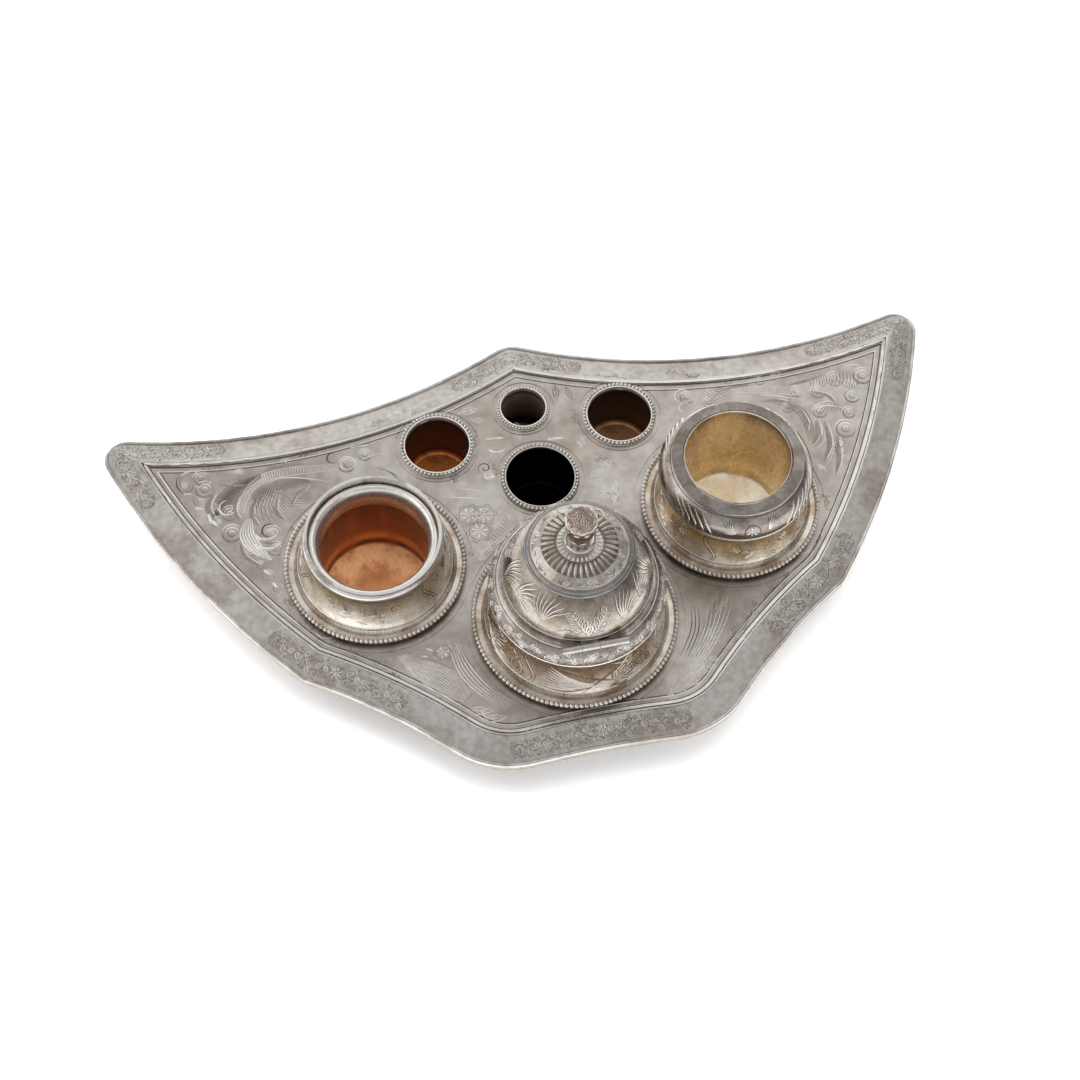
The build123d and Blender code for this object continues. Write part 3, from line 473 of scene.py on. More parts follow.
def dressed(node: str, finish: Finish, body: Body, slot: str, crease: float = 35.0) -> Piece:
    """Puts a smooth skin of the same shape over a CAD node."""
    return settled(merged_copy(node), finish, body, slot, node, crease=crease)


def bow(start: Point, end: Point, swell: float, steps: int = 10) -> list[Point]:
    """Points of an arc that swells to the right of its travel, both ends included.

    Args:
        start: its first end.
        end: its other end.
        swell: how far it stands off its chord.
        steps: how many parts it has.

    Returns:
        The points.
    """
    chord = hypot(end[0] - start[0], end[1] - start[1])
    across = ((end[1] - start[1]) / chord, (start[0] - end[0]) / chord)
    if abs(swell) < TINY:
        return [start, end]
    reach = (chord ** 2 / 4 + swell ** 2) / (2 * abs(swell))
    half = 2 * atan2(abs(swell), chord / 2)
    points = []
    for i in range(steps + 1):
        turn = half * (2 * i / steps - 1)
        along = reach * sin(turn) / chord + 0.5
        out = (reach * cos(turn) - reach + abs(swell)) * (1 if swell > 0 else -1)
        points.append((start[0] + along * (end[0] - start[0]) + out * across[0],
                       start[1] + along * (end[1] - start[1]) + out * across[1]))
    return points


def turned(name: str, profile: Sequence[Point], axis: Point, sides: int = 144) -> Piece:
    """Turns a closed profile round an upright axis: a circle is drawn out ring by ring.

    Args:
        name: name of the piece.
        profile: radius and height of each ring, upward on the outside; a profile that starts and ends
            on the axis makes a solid, and any other closes on itself.
        axis: where the axis stands, seen from above.
        sides: sides of each ring.

    Returns:
        The piece, with its normals outward.
    """
    solid = profile[0][0] < TINY
    rings = [p for p in profile if p[0] > TINY]
    first = rings[0]
    bpy.ops.object.select_all(action="DESELECT")
    bpy.ops.mesh.primitive_circle_add(vertices=sides, radius=first[0] * MM, fill_type="NOTHING",
                                      location=metres(*axis, first[1]))
    piece = bpy.context.object
    piece.name = name
    bpy.ops.object.mode_set(mode="EDIT")
    bpy.ops.mesh.select_all(action="SELECT")
    if solid:
        bpy.ops.mesh.edge_face_add()
        bpy.ops.mesh.poke()
        bpy.ops.mesh.select_all(action="DESELECT")
        bpy.ops.object.mode_set(mode="OBJECT")
        for vertex in piece.data.vertices:
            vertex.select = hypot(*(vertex.co.xy)) > 0.5 * first[0] * MM
        bpy.ops.object.mode_set(mode="EDIT")
        bpy.ops.mesh.select_mode(type="VERT")
    before = first
    path = rings[1:] if solid else [*rings[1:], first]
    for ring in path:
        bpy.ops.mesh.extrude_edges_move(
            TRANSFORM_OT_translate={"value": (0.0, 0.0, (ring[1] - before[1]) * MM)})
        scale = ring[0] / before[0]
        if abs(scale - 1) > 1e-9:
            bpy.ops.transform.resize(value=(scale, scale, 1.0),
                                     center_override=metres(*axis, ring[1]))
        before = ring
    if solid:
        bpy.ops.mesh.edge_face_add()
        bpy.ops.mesh.poke()
    bpy.ops.mesh.select_all(action="SELECT")
    bpy.ops.mesh.remove_doubles(threshold=TINY)
    bpy.ops.mesh.normals_make_consistent(inside=False)
    bpy.ops.object.mode_set(mode="OBJECT")
    return piece


def copied_round(piece: Piece, count: int, axis: Point) -> None:
    """Copies all of a piece's mesh round an upright axis, so that there are count of it.

    Args:
        piece: the mesh object.
        count: how many there are in the end.
        axis: where the axis stands, seen from above.
    """
    alone(piece)
    bpy.ops.object.transform_apply(location=True, rotation=True, scale=True)
    bpy.ops.object.mode_set(mode="EDIT")
    bpy.ops.mesh.select_all(action="SELECT")
    bpy.ops.mesh.spin(steps=count - 1, dupli=True, angle=tau * (count - 1) / count,
                      center=metres(*axis), axis=(0.0, 0.0, 1.0))
    bpy.ops.object.mode_set(mode="OBJECT")


# ---- chasing
class Surface:
    """A surface that cut lines lie on."""

    def put(self, flat: np.ndarray) -> np.ndarray:
        """Turns rows of across, along and rise in millimetres into places in metres."""
        raise NotImplementedError


class Plate(Surface):
    """The top of some pieces, met from above: across is x and along is y."""

    def __init__(self, *pieces: Piece) -> None:
        """Gathers the pieces' faces.

        Args:
            pieces: mesh objects.
        """
        places: list[Vector] = []
        faces: list[tuple[int, ...]] = []
        for piece in pieces:
            mesh = piece.data
            start = len(places)
            places += [v.co.copy() for v in mesh.vertices]
            faces += [tuple(start + i for i in p.vertices) for p in mesh.polygons]
        self.tree = BVHTree.FromPolygons(places, faces)

    def put(self, flat: np.ndarray) -> np.ndarray:
        """Drops each point on the pieces and lifts it square to them.

        Args:
            flat: rows of x, y and rise in millimetres.

        Returns:
            Places in metres.
        """
        places = np.empty_like(flat)
        down = Vector((0.0, 0.0, -1.0))
        for i, (x, y, rise) in enumerate(flat):
            hit, normal, _, _ = self.tree.ray_cast(Vector((x * MM, y * MM, 1.0)), down)
            if hit is None:
                hit, normal = Vector(metres(x, y, PANEL)), Vector((0.0, 0.0, 1.0))
            places[i] = hit + normal * (rise * MM)
        return places


@dataclass
class Wall(Surface):
    """The outside of a turned wall: across is round it from the front, along is up its profile."""
    axis: Point
    profile: list[Point]

    def __post_init__(self) -> None:
        """Measures the profile."""
        self.curve = np.array(self.profile)
        self.run = run_along(self.curve)
        self.length = float(self.run[-1])
        self.middle = float(np.interp(self.length / 2, self.run, self.curve[:, 0]))

    def across(self, angle: float) -> float:
        """How far round the wall an angle is, in degrees from the front, to the right."""
        return radians(angle) * self.middle

    def put(self, flat: np.ndarray) -> np.ndarray:
        """Wraps the points round the wall.

        Args:
            flat: rows of across, along and rise in millimetres.

        Returns:
            Places in metres.
        """
        angle = flat[:, 0] / self.middle
        along = flat[:, 1]
        step = 0.05 * self.length
        radius, height = (np.interp(along, self.run, column) for column in self.curve.T)
        ahead, behind = np.clip(along + step, 0, self.length), np.clip(along - step, 0, self.length)
        run_r, run_z = (np.interp(ahead, self.run, column) - np.interp(behind, self.run, column)
                        for column in self.curve.T)
        length = np.hypot(run_r, run_z)
        out, up = run_z / length, -run_r / length
        radius = radius + flat[:, 2] * out
        height = height + flat[:, 2] * up
        return np.stack([self.axis[0] + radius * np.sin(angle), self.axis[1] - radius * np.cos(angle),
                         height], axis=1) * MM


def tray_top() -> Plate:
    """The tray seen from above, for lines that cross from one of its pieces to the next."""
    return Plate(*(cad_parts[node] for node in ("tray_panel", "inner_moulding", "border_band")))


def run_along(path: np.ndarray) -> np.ndarray:
    """How far along a path each of its places is."""
    return np.concatenate([[0.0], np.cumsum(np.hypot(*np.diff(path, axis=0).T))])


def sides_of(path: np.ndarray) -> tuple[np.ndarray, np.ndarray]:
    """The tangents of a path and its normals, which point to its left."""
    tangents = np.gradient(path, axis=0)
    return tangents, np.column_stack([-tangents[:, 1], tangents[:, 0]]) / np.hypot(*tangents.T)[:, None]


def off(x: float, y: float, heading: float, ahead: float, left: float = 0.0) -> Point:
    """The place so far ahead of another and to its left, for a heading in degrees."""
    a = radians(heading)
    return x + ahead * cos(a) - left * sin(a), y + ahead * sin(a) + left * cos(a)


def flowing(points: Sequence[Point], step: float = 1.0) -> np.ndarray:
    """A smooth line through given points, as rows of x and y about a step apart.

    Args:
        points: given points.
        step: distance between the rows.

    Returns:
        The rows.
    """
    given = np.array(points, dtype=float)
    if len(given) == 2:
        count = max(2, ceil(np.hypot(*(given[1] - given[0])) / step) + 1)
        return np.linspace(given[0], given[1], count)
    ends = np.vstack([2 * given[0] - given[1], given, 2 * given[-1] - given[-2]])
    rows = []
    for a, b, c, d in zip(ends, ends[1:], ends[2:], ends[3:]):
        count = max(2, ceil(np.hypot(*(c - b)) / step))
        t = np.linspace(0.0, 1.0, count, endpoint=False)[:, None]
        rows.append(0.5 * (2 * b + (c - a) * t + (2 * a - 5 * b + 4 * c - d) * t ** 2
                           + (3 * b - a - 3 * c + d) * t ** 3))
    rows.append(given[-1:])
    return np.vstack(rows)


def evenly(path: np.ndarray, count: int) -> np.ndarray:
    """A number of places at even distances along a path.

    Args:
        path: the path.
        count: how many.

    Returns:
        The places.
    """
    run = run_along(path)
    marks = np.linspace(0.0, run[-1], count)
    return np.column_stack([np.interp(marks, run, path[:, k]) for k in (0, 1)])


@dataclass
class Chasing:
    """Tapered cut lines on one surface, made into one piece.

    Attributes:
        name: name of the piece.
        surface: what they lie on.
        finish: their surface.
        body: what they ride on.
        slot: name of the record's slot, kept with them and handed on to settled.
        fullness: height of a line over half its width.
    """
    name: str
    surface: Surface
    finish: Finish
    body: Body
    slot: str
    fullness: float = 0.3
    lines: list[np.ndarray] = field(default_factory=list)

    def stroke(self, points: Sequence[Point], width: float, head: float = 0.2, tail: float = 0.2,
               step: float = 1.0) -> None:
        """One line through points, that swells from its head to its full width and down to its tail.

        Args:
            points: given points.
            width: width at its middle in millimetres.
            head: share of the width at its start.
            tail: share of the width at its end.
            step: distance between the points that are made.
        """
        path = flowing(points, step)
        t = np.linspace(0.0, 1.0, len(path))
        full = np.sin(pi * np.clip(t, 0.02, 0.98)) ** 0.7
        share = np.maximum(full, np.where(t < 0.5, head, tail))
        self.lines.append(np.column_stack([path, share * width / 2]))

    def arc(self, x: float, y: float, radius: float, start: float, sweep: float, width: float,
            taper: float = 0.15) -> None:
        """Part of a circle, its angles in degrees.

        Args:
            x: its centre.
            y: the same, to the back.
            radius: its radius.
            start: where it starts.
            sweep: how far it turns.
            width: width of a line.
            taper: share of the width at its ends.
        """
        count = max(4, ceil(abs(radians(sweep)) * radius / 0.7))
        points = [off(x, y, start + sweep * i / count, radius) for i in range(count + 1)]
        self.stroke(points, width, taper, taper)

    def scoop(self, x: float, y: float, heading: float, length: float, width: float) -> None:
        """A short fat cut, rounded at its head and pointed at its tail."""
        points = [off(x, y, heading, t * length) for t in (0.0, 0.5, 1.0)]
        self.stroke(points, width, 0.75, 0.1, step=0.6)

    def fan(self, x: float, y: float, heading: float, spread: float, count: int, length: float,
            width: float = 0.5, bend: float = 0.0, start: float = 0.0) -> None:
        """Strokes that spread from a place.

        Args:
            x: place that they spread from.
            y: the same, to the back.
            heading: direction of the middle one in degrees.
            spread: angle between the outer ones.
            count: how many.
            length: length of each.
            width: width of each.
            bend: how far each bows to its left, as a share of its length.
            start: distance from the place to each one's head.
        """
        for i in range(count):
            share = i / max(1, count - 1)
            points = [off(x, y, heading + spread * (share - 0.5), start + length * t, bow_out)
                      for t, bow_out in ((0.0, 0.0), (0.5, bend * length), (1.0, 0.0))]
            self.stroke(points, width, 0.4, 0.1)

    def leaf(self, x: float, y: float, heading: float, length: float, breadth: float, width: float = 0.35,
             veins: int = 0) -> None:
        """A pointed leaf: two bowed edges, a midrib and side veins.

        Args:
            x: its foot.
            y: the same, to the back.
            heading: its direction in degrees.
            length: its length.
            breadth: its breadth.
            width: width of a line.
            veins: pairs of side veins.
        """
        at = partial(off, x, y, heading)
        for side in (1, -1):
            self.stroke([at(0, 0), at(0.45 * length, side * breadth / 2), at(length, 0)], width, 0.4, 0.15,
                        0.7)
            for k in range(veins):
                start = length * (k + 0.6) / (veins + 1)
                self.stroke([at(start, 0), at(start + 0.22 * length, side * 0.3 * breadth)], width * 0.7)
        self.stroke([at(0, 0), at(0.8 * length, 0)], width * 0.8, 0.5, 0.1)

    def rosette(self, x: float, y: float, radius: float, petals: int = 6, width: float = 0.6) -> None:
        """A small round flower.

        Args:
            x: its middle.
            y: the same, to the back.
            radius: its radius.
            petals: how many petals.
            width: width of a line.
        """
        for i in range(petals):
            turn = 360 * i / petals
            self.scoop(*off(x, y, turn, 0.35 * radius), turn, 0.62 * radius, width)
        self.arc(x, y, 0.2 * radius, 0, 360, width * 0.6, 0.9)

    def curl(self, x: float, y: float, radius: float, heading: float, turns: float = 1.2, hand: int = 1,
             width: float = 0.5) -> None:
        """A spiral that opens out from its middle, turning left for a hand of 1.

        Args:
            x: its middle.
            y: the same, to the back.
            radius: its radius.
            heading: where its outer end is.
            turns: how often it goes round.
            hand: 1 or -1.
            width: width of a line.
        """
        count = ceil(12 * turns)
        points = []
        for i in range(count + 1):
            share = i / count
            turn = heading + hand * 360 * turns * (share - 1)
            points.append(off(x, y, turn, radius * (0.15 + 0.85 * share)))
        self.stroke(points, width, 0.6, 0.15, 0.7)

    def spray(self, points: Sequence[Point], count: int, leaf_length: float, breadth: float,
              width: float = 0.35, veins: int = 0) -> None:
        """A stem with leaves on both sides, which grow shorter to its tip.

        Args:
            points: the stem's points.
            count: how many leaves.
            leaf_length: length of the first leaf.
            breadth: breadth of a leaf.
            width: width of a line.
            veins: pairs of side veins.
        """
        self.stroke(points, width, 0.6, 0.2)
        path = flowing(points, 0.5)
        for i in range(count):
            share = (i + 0.5) / count
            k = min(int(share * (len(path) - 1)), len(path) - 2)
            tangent = path[k + 1] - path[k]
            heading = np.degrees(atan2(tangent[1], tangent[0]))
            side = 1 if i % 2 else -1
            self.leaf(*path[k], heading + side * 42, leaf_length * (1 - 0.4 * share), breadth, width, veins)

    def ribbon(self, points: Sequence[Point], breadth: float, pitch: float, width: float = 0.35) -> None:
        """A braided ribbon: two edges with slanted ticks between them.

        Args:
            points: given points.
            breadth: its breadth.
            pitch: distance between its ticks.
            width: width of a line.
        """
        path = flowing(points, pitch)
        _, normals = sides_of(path)
        share = np.linspace(0.0, 1.0, len(path))
        half = (breadth / 2 * (0.6 + 0.4 * np.sin(pi * share)))[:, None]
        left, right = path + normals * half, path - normals * half
        for edge in (left, right):
            self.lines.append(np.column_stack([edge, np.full(len(edge), width / 2)]))
        for i in range(len(path) - 1):
            self.stroke([tuple(right[i]), tuple((left[i] + left[i + 1]) / 2)], width * 0.9, 0.4, 0.4)

    def shade(self, first: Sequence[Point], last: Sequence[Point], count: int, width: float = 0.3,
              bend: float = 0.0) -> None:
        """Short lines that cross from one smooth line to another.

        Args:
            first: line that they start on.
            last: line that they end on.
            count: how many.
            width: width of a line.
            bend: how far each bows, as a share of its length.
        """
        starts, ends = (evenly(flowing(points), count) for points in (first, last))
        for start, end in zip(starts, ends):
            side = np.array([start[1] - end[1], end[0] - start[0]]) * bend
            self.stroke([tuple(start), tuple((start + end) / 2 + side), tuple(end)], width, 0.45, 0.2)

    def follow(self, first: Sequence[Point], last: Sequence[Point], count: int, width: float = 0.35) -> None:
        """Long lines side by side, that change from one smooth line into another.

        Args:
            first: the first line.
            last: the last line.
            count: how many.
            width: width of a line.
        """
        one, other = (evenly(flowing(points), 12) for points in (first, last))
        for i in range(count):
            share = i / max(1, count - 1)
            rows = one + (other - one) * share
            ends = 0.12 * sin(2.4 * i)
            self.stroke([tuple(r) for r in rows[:: 1 if ends > 0 else -1]], width, 0.5, 0.1)

    def trail(self, path: np.ndarray, width: float) -> None:
        """A line of even width along given places."""
        self.lines.append(np.column_stack([path, np.full(len(path), width / 2)]))

    def make(self) -> Piece | None:
        """Makes the piece: tapered round lines, pressed flat and laid on the surface.

        Returns:
            The piece, or nothing if the pen drew nothing.
        """
        if not self.lines:
            return None
        curve = bpy.data.curves.new(self.name, "CURVE")
        curve.dimensions = "3D"
        curve.bevel_depth = 1.0
        curve.bevel_resolution = 1
        curve.use_fill_caps = True
        for rows in self.lines:
            spline = curve.splines.new("POLY")
            spline.points.add(len(rows) - 1)
            spline.points.foreach_set("co", np.column_stack([rows[:, :2], np.zeros(len(rows)),
                                                             np.ones(len(rows))]).ravel())
            spline.points.foreach_set("radius", rows[:, 2])
        piece = bpy.data.objects.new(self.name, curve)
        bpy.context.scene.collection.objects.link(piece)
        alone(piece)
        bpy.ops.object.convert(target="MESH")
        piece = bpy.context.object
        places = np.empty(len(piece.data.vertices) * 3)
        piece.data.vertices.foreach_get("co", places)
        flat = places.reshape(-1, 3)
        flat[:, 2] *= self.fullness
        piece.data.vertices.foreach_set("co", self.surface.put(flat).ravel())
        piece.data.update()
        return settled(piece, self.finish, self.body, self.slot, crease=70.0)


@dataclass
class Grains:
    """Small punched grains and petals scattered over a surface, copied from one low bead."""
    name: str
    surface: Surface
    finish: Finish
    body: Body
    slot: str
    rows: list[tuple[float, float, float]] = field(default_factory=list)

    def along(self, points: Sequence[Point], breadth: float, pitch: float, size: float, seed: int) -> None:
        """Scatters grains on both sides of a line.

        Args:
            points: given points.
            breadth: breadth of the strewn band.
            pitch: distance between grains.
            size: size of a grain.
            seed: start of the random draws.
        """
        rng = np.random.default_rng(seed)
        path = flowing(points, pitch)
        _, normals = sides_of(path)
        across = np.arange(-breadth / 2, breadth / 2 + TINY, pitch)
        for i in range(len(path)):
            ease = sin(pi * min(1.0, (i + 1) / 4, (len(path) - i) / 4) / 2)
            for offset in across * ease:
                jitter = rng.normal(0.0, 0.22 * pitch, 2)
                place = path[i] + normals[i] * offset + jitter
                self.rows.append((place[0], place[1], size * rng.uniform(0.6, 1.25)))

    def disc(self, centre: Point, radius: float, count: int, size: float, seed: int) -> None:
        """Scatters grains evenly over a disc.

        Args:
            centre: its middle.
            radius: its radius.
            count: how many.
            size: size of a grain.
            seed: start of the random draws.
        """
        rng = np.random.default_rng(seed)
        for k in range(count):
            reach, turn = radius * sqrt((k + 0.5) / count), GOLDEN_TURN * k
            jitter = rng.normal(0.0, 0.12 * size, 2)
            self.rows.append((centre[0] + reach * cos(turn) + jitter[0],
                              centre[1] + reach * sin(turn) + jitter[1], size * rng.uniform(0.8, 1.25)))

    def make(self) -> Piece:
        """Makes the piece.

        Returns:
            The piece.
        """
        bpy.ops.object.select_all(action="DESELECT")
        bpy.ops.mesh.primitive_ico_sphere_add(subdivisions=1, radius=1.0, location=(0.0, 0.0, 0.0))
        piece = bpy.context.object
        piece.name = self.name
        bead = np.array([v.co[:] for v in piece.data.vertices])
        faces = np.array([p.vertices[:] for p in piece.data.polygons])
        rows = np.array(self.rows)
        flat = np.repeat(rows[:, None, :], len(bead), axis=1).reshape(-1, 3)
        spread = np.tile(bead, (len(rows), 1)) * flat[:, 2:3]
        flat[:, :2] += spread[:, :2]
        flat[:, 2] = spread[:, 2] * GRAIN_HEIGHT
        mesh = bpy.data.meshes.new(self.name)
        places = self.surface.put(flat)
        every = (np.arange(len(rows))[:, None, None] * len(bead) + faces[None]).reshape(-1, 3)
        mesh.from_pydata(places.tolist(), [], every.tolist())
        old = piece.data
        piece.data = mesh
        bpy.data.meshes.remove(old)
        return settled(piece, self.finish, self.body, self.slot, crease=60.0)


# ---- beads
@dataclass(frozen=True)
class Pearls:
    """A beaded wire: round pearls on a thin base ring.

    Attributes:
        node: the CAD node that it stands for.
        body: what it rides on.
        bead_radius: radius of a pearl, by default that of the pots'.
        pitch: distance between the middles of two pearls.
    """
    node: str
    body: Body
    bead_radius: float = 0.9
    pitch: float = 1.8

    def build(self) -> None:
        """Makes one pearl, copies it round, and lays a wire between the pearls, darker as painted shade."""
        axis = axis_of(self.node)
        bead = self.bead_radius
        middle = radius_of(self.node) - bead
        low, _ = span_of(self.node)
        count = round(tau * middle / self.pitch)
        bpy.ops.object.select_all(action="DESELECT")
        bpy.ops.mesh.primitive_uv_sphere_add(segments=10, ring_count=7, radius=bead * MM,
                                             location=metres(axis[0] + middle, axis[1], low + bead))
        pearls = bpy.context.object
        pearls.name = f"{self.node}_pearls"
        copied_round(pearls, count, axis)
        settled(pearls, PEARL, self.body, "silver_beads", self.node, crease=50.0)
        outline = ((-1, 0), (0.4, 0), (0.5, 0.5), (-0.3, 0.8), (-1, 0.7))
        base = turned(f"{self.node}_wire", [(middle + out * bead, low + up * bead) for out, up in outline],
                      axis, sides=96)
        settled(base, WIRE, self.body, "silver_beads", self.node)


@dataclass(frozen=True)
class Petals:
    """A ring of rounded petals round the lid's axis.

    Attributes:
        name: name of the piece.
        inner: radius and height of a petal's inner or lower end.
        outer: radius and height of its outer or upper end.
        count: how many.
        breadth: breadth of one in millimetres.
        thickness: its thickness.
    """
    name: str
    inner: Point
    outer: Point
    count: int
    breadth: float
    thickness: float

    def ring(self) -> Piece:
        """Shapes one petal from a sphere and copies it round.

        Returns:
            The ring, without its finish.
        """
        reach, rise = self.outer[0] - self.inner[0], self.outer[1] - self.inner[1]
        bpy.ops.object.select_all(action="DESELECT")
        bpy.ops.mesh.primitive_uv_sphere_add(
            segments=12, ring_count=8, radius=MM,
            location=metres(CENTRE[0] + (self.outer[0] + self.inner[0]) / 2, CENTRE[1],
                            (self.outer[1] + self.inner[1]) / 2))
        petal = bpy.context.object
        petal.name = self.name
        petal.scale = (hypot(reach, rise) / 2, self.breadth / 2, self.thickness / 2)
        petal.rotation_euler = (0.0, -atan2(rise, reach), 0.0)
        copied_round(petal, self.count, CENTRE)
        return petal


# ---- tray
def panel_outline(step: float) -> np.ndarray:
    """The panel's outer edge from the frame, as places about a step apart, anticlockwise.

    Args:
        step: distance between places, apart from its corners.

    Returns:
        The places, with the first once more at the end.
    """
    mesh = merged_copy("tray_panel")
    data = mesh.data
    top = PANEL * MM - 1e-5
    up = [p for p in data.polygons
          if p.normal.z > 0.9 and all(data.vertices[i].co.z > top for i in p.vertices)]
    sides: dict[tuple[int, int], int] = {}
    for polygon in up:
        for a, b in polygon.edge_keys:
            sides[(a, b)] = sides.get((a, b), 0) + 1
    rim: dict[int, list[int]] = {}
    for (a, b), uses in sides.items():
        if uses == 1:
            rim.setdefault(a, []).append(b)
            rim.setdefault(b, []).append(a)
    first = max(rim, key=lambda i: data.vertices[i].co.x)
    loop = [first]
    while True:
        nexts = [i for i in rim[loop[-1]] if i not in loop[-2:]]
        if not nexts or nexts[0] == first:
            break
        loop.append(nexts[0])
    path = np.array([data.vertices[i].co.xy[:] for i in loop]) / MM
    bpy.data.objects.remove(mesh)
    area = np.sum(path[:, 0] * np.roll(path[:, 1], -1) - path[:, 1] * np.roll(path[:, 0], -1))
    if area < 0:
        path = path[::-1]
    closed = np.vstack([path, path[:1]])
    run = run_along(closed)
    corners = [i for i in range(len(path)) if turn_at(path, i) > radians(15)]
    kept = np.concatenate([run[corners], [run[-1]]])
    regular = np.arange(0.0, run[-1], step)
    free = [mark for mark in regular if np.min(np.abs(kept - mark)) > 0.6 * step]
    marks = np.unique(np.concatenate([free, kept, [0.0]]))
    return np.column_stack([np.interp(marks, run, closed[:, k]) for k in (0, 1)])


def turn_at(path: np.ndarray, i: int) -> float:
    """How far a closed path turns at a place.

    Args:
        path: the path.
        i: which place.

    Returns:
        The angle in radians.
    """
    a = path[i] - path[i - 1]
    b = path[(i + 1) % len(path)] - path[i]
    return abs(atan2(a[0] * b[1] - a[1] * b[0], float(a @ b)))


def moved_in(path: np.ndarray, distance: float) -> np.ndarray:
    """A closed anticlockwise path moved inward, with its corners kept as corners.

    Args:
        path: the path.
        distance: how far, below 0 for outward.

    Returns:
        The moved path.
    """
    body = path[:-1]
    ahead = np.roll(body, -1, axis=0) - body
    ahead = ahead / np.hypot(*ahead.T)[:, None]
    behind = np.roll(ahead, 1, axis=0)
    n1, n2 = (np.column_stack([-t[:, 1], t[:, 0]]) for t in (behind, ahead))
    reach = distance / (1 + np.sum(n1 * n2, axis=1))
    moved = body + (n1 + n2) * reach[:, None]
    moved = moved[from_line(moved, path) > abs(distance) - 0.03]
    return np.vstack([moved, moved[:1]])


def from_line(places: np.ndarray, path: np.ndarray) -> np.ndarray:
    """Distance of each place from the nearest part of a path.

    Args:
        places: the places.
        path: the path.

    Returns:
        The distances.
    """
    start, run = path[:-1], np.diff(path, axis=0)
    away = places[:, None, :] - start[None]
    share = np.clip(np.sum(away * run[None], axis=2) / np.sum(run * run, axis=1)[None], 0.0, 1.0)
    return np.min(np.hypot(*np.moveaxis(away - share[..., None] * run[None], 2, 0)), axis=1)


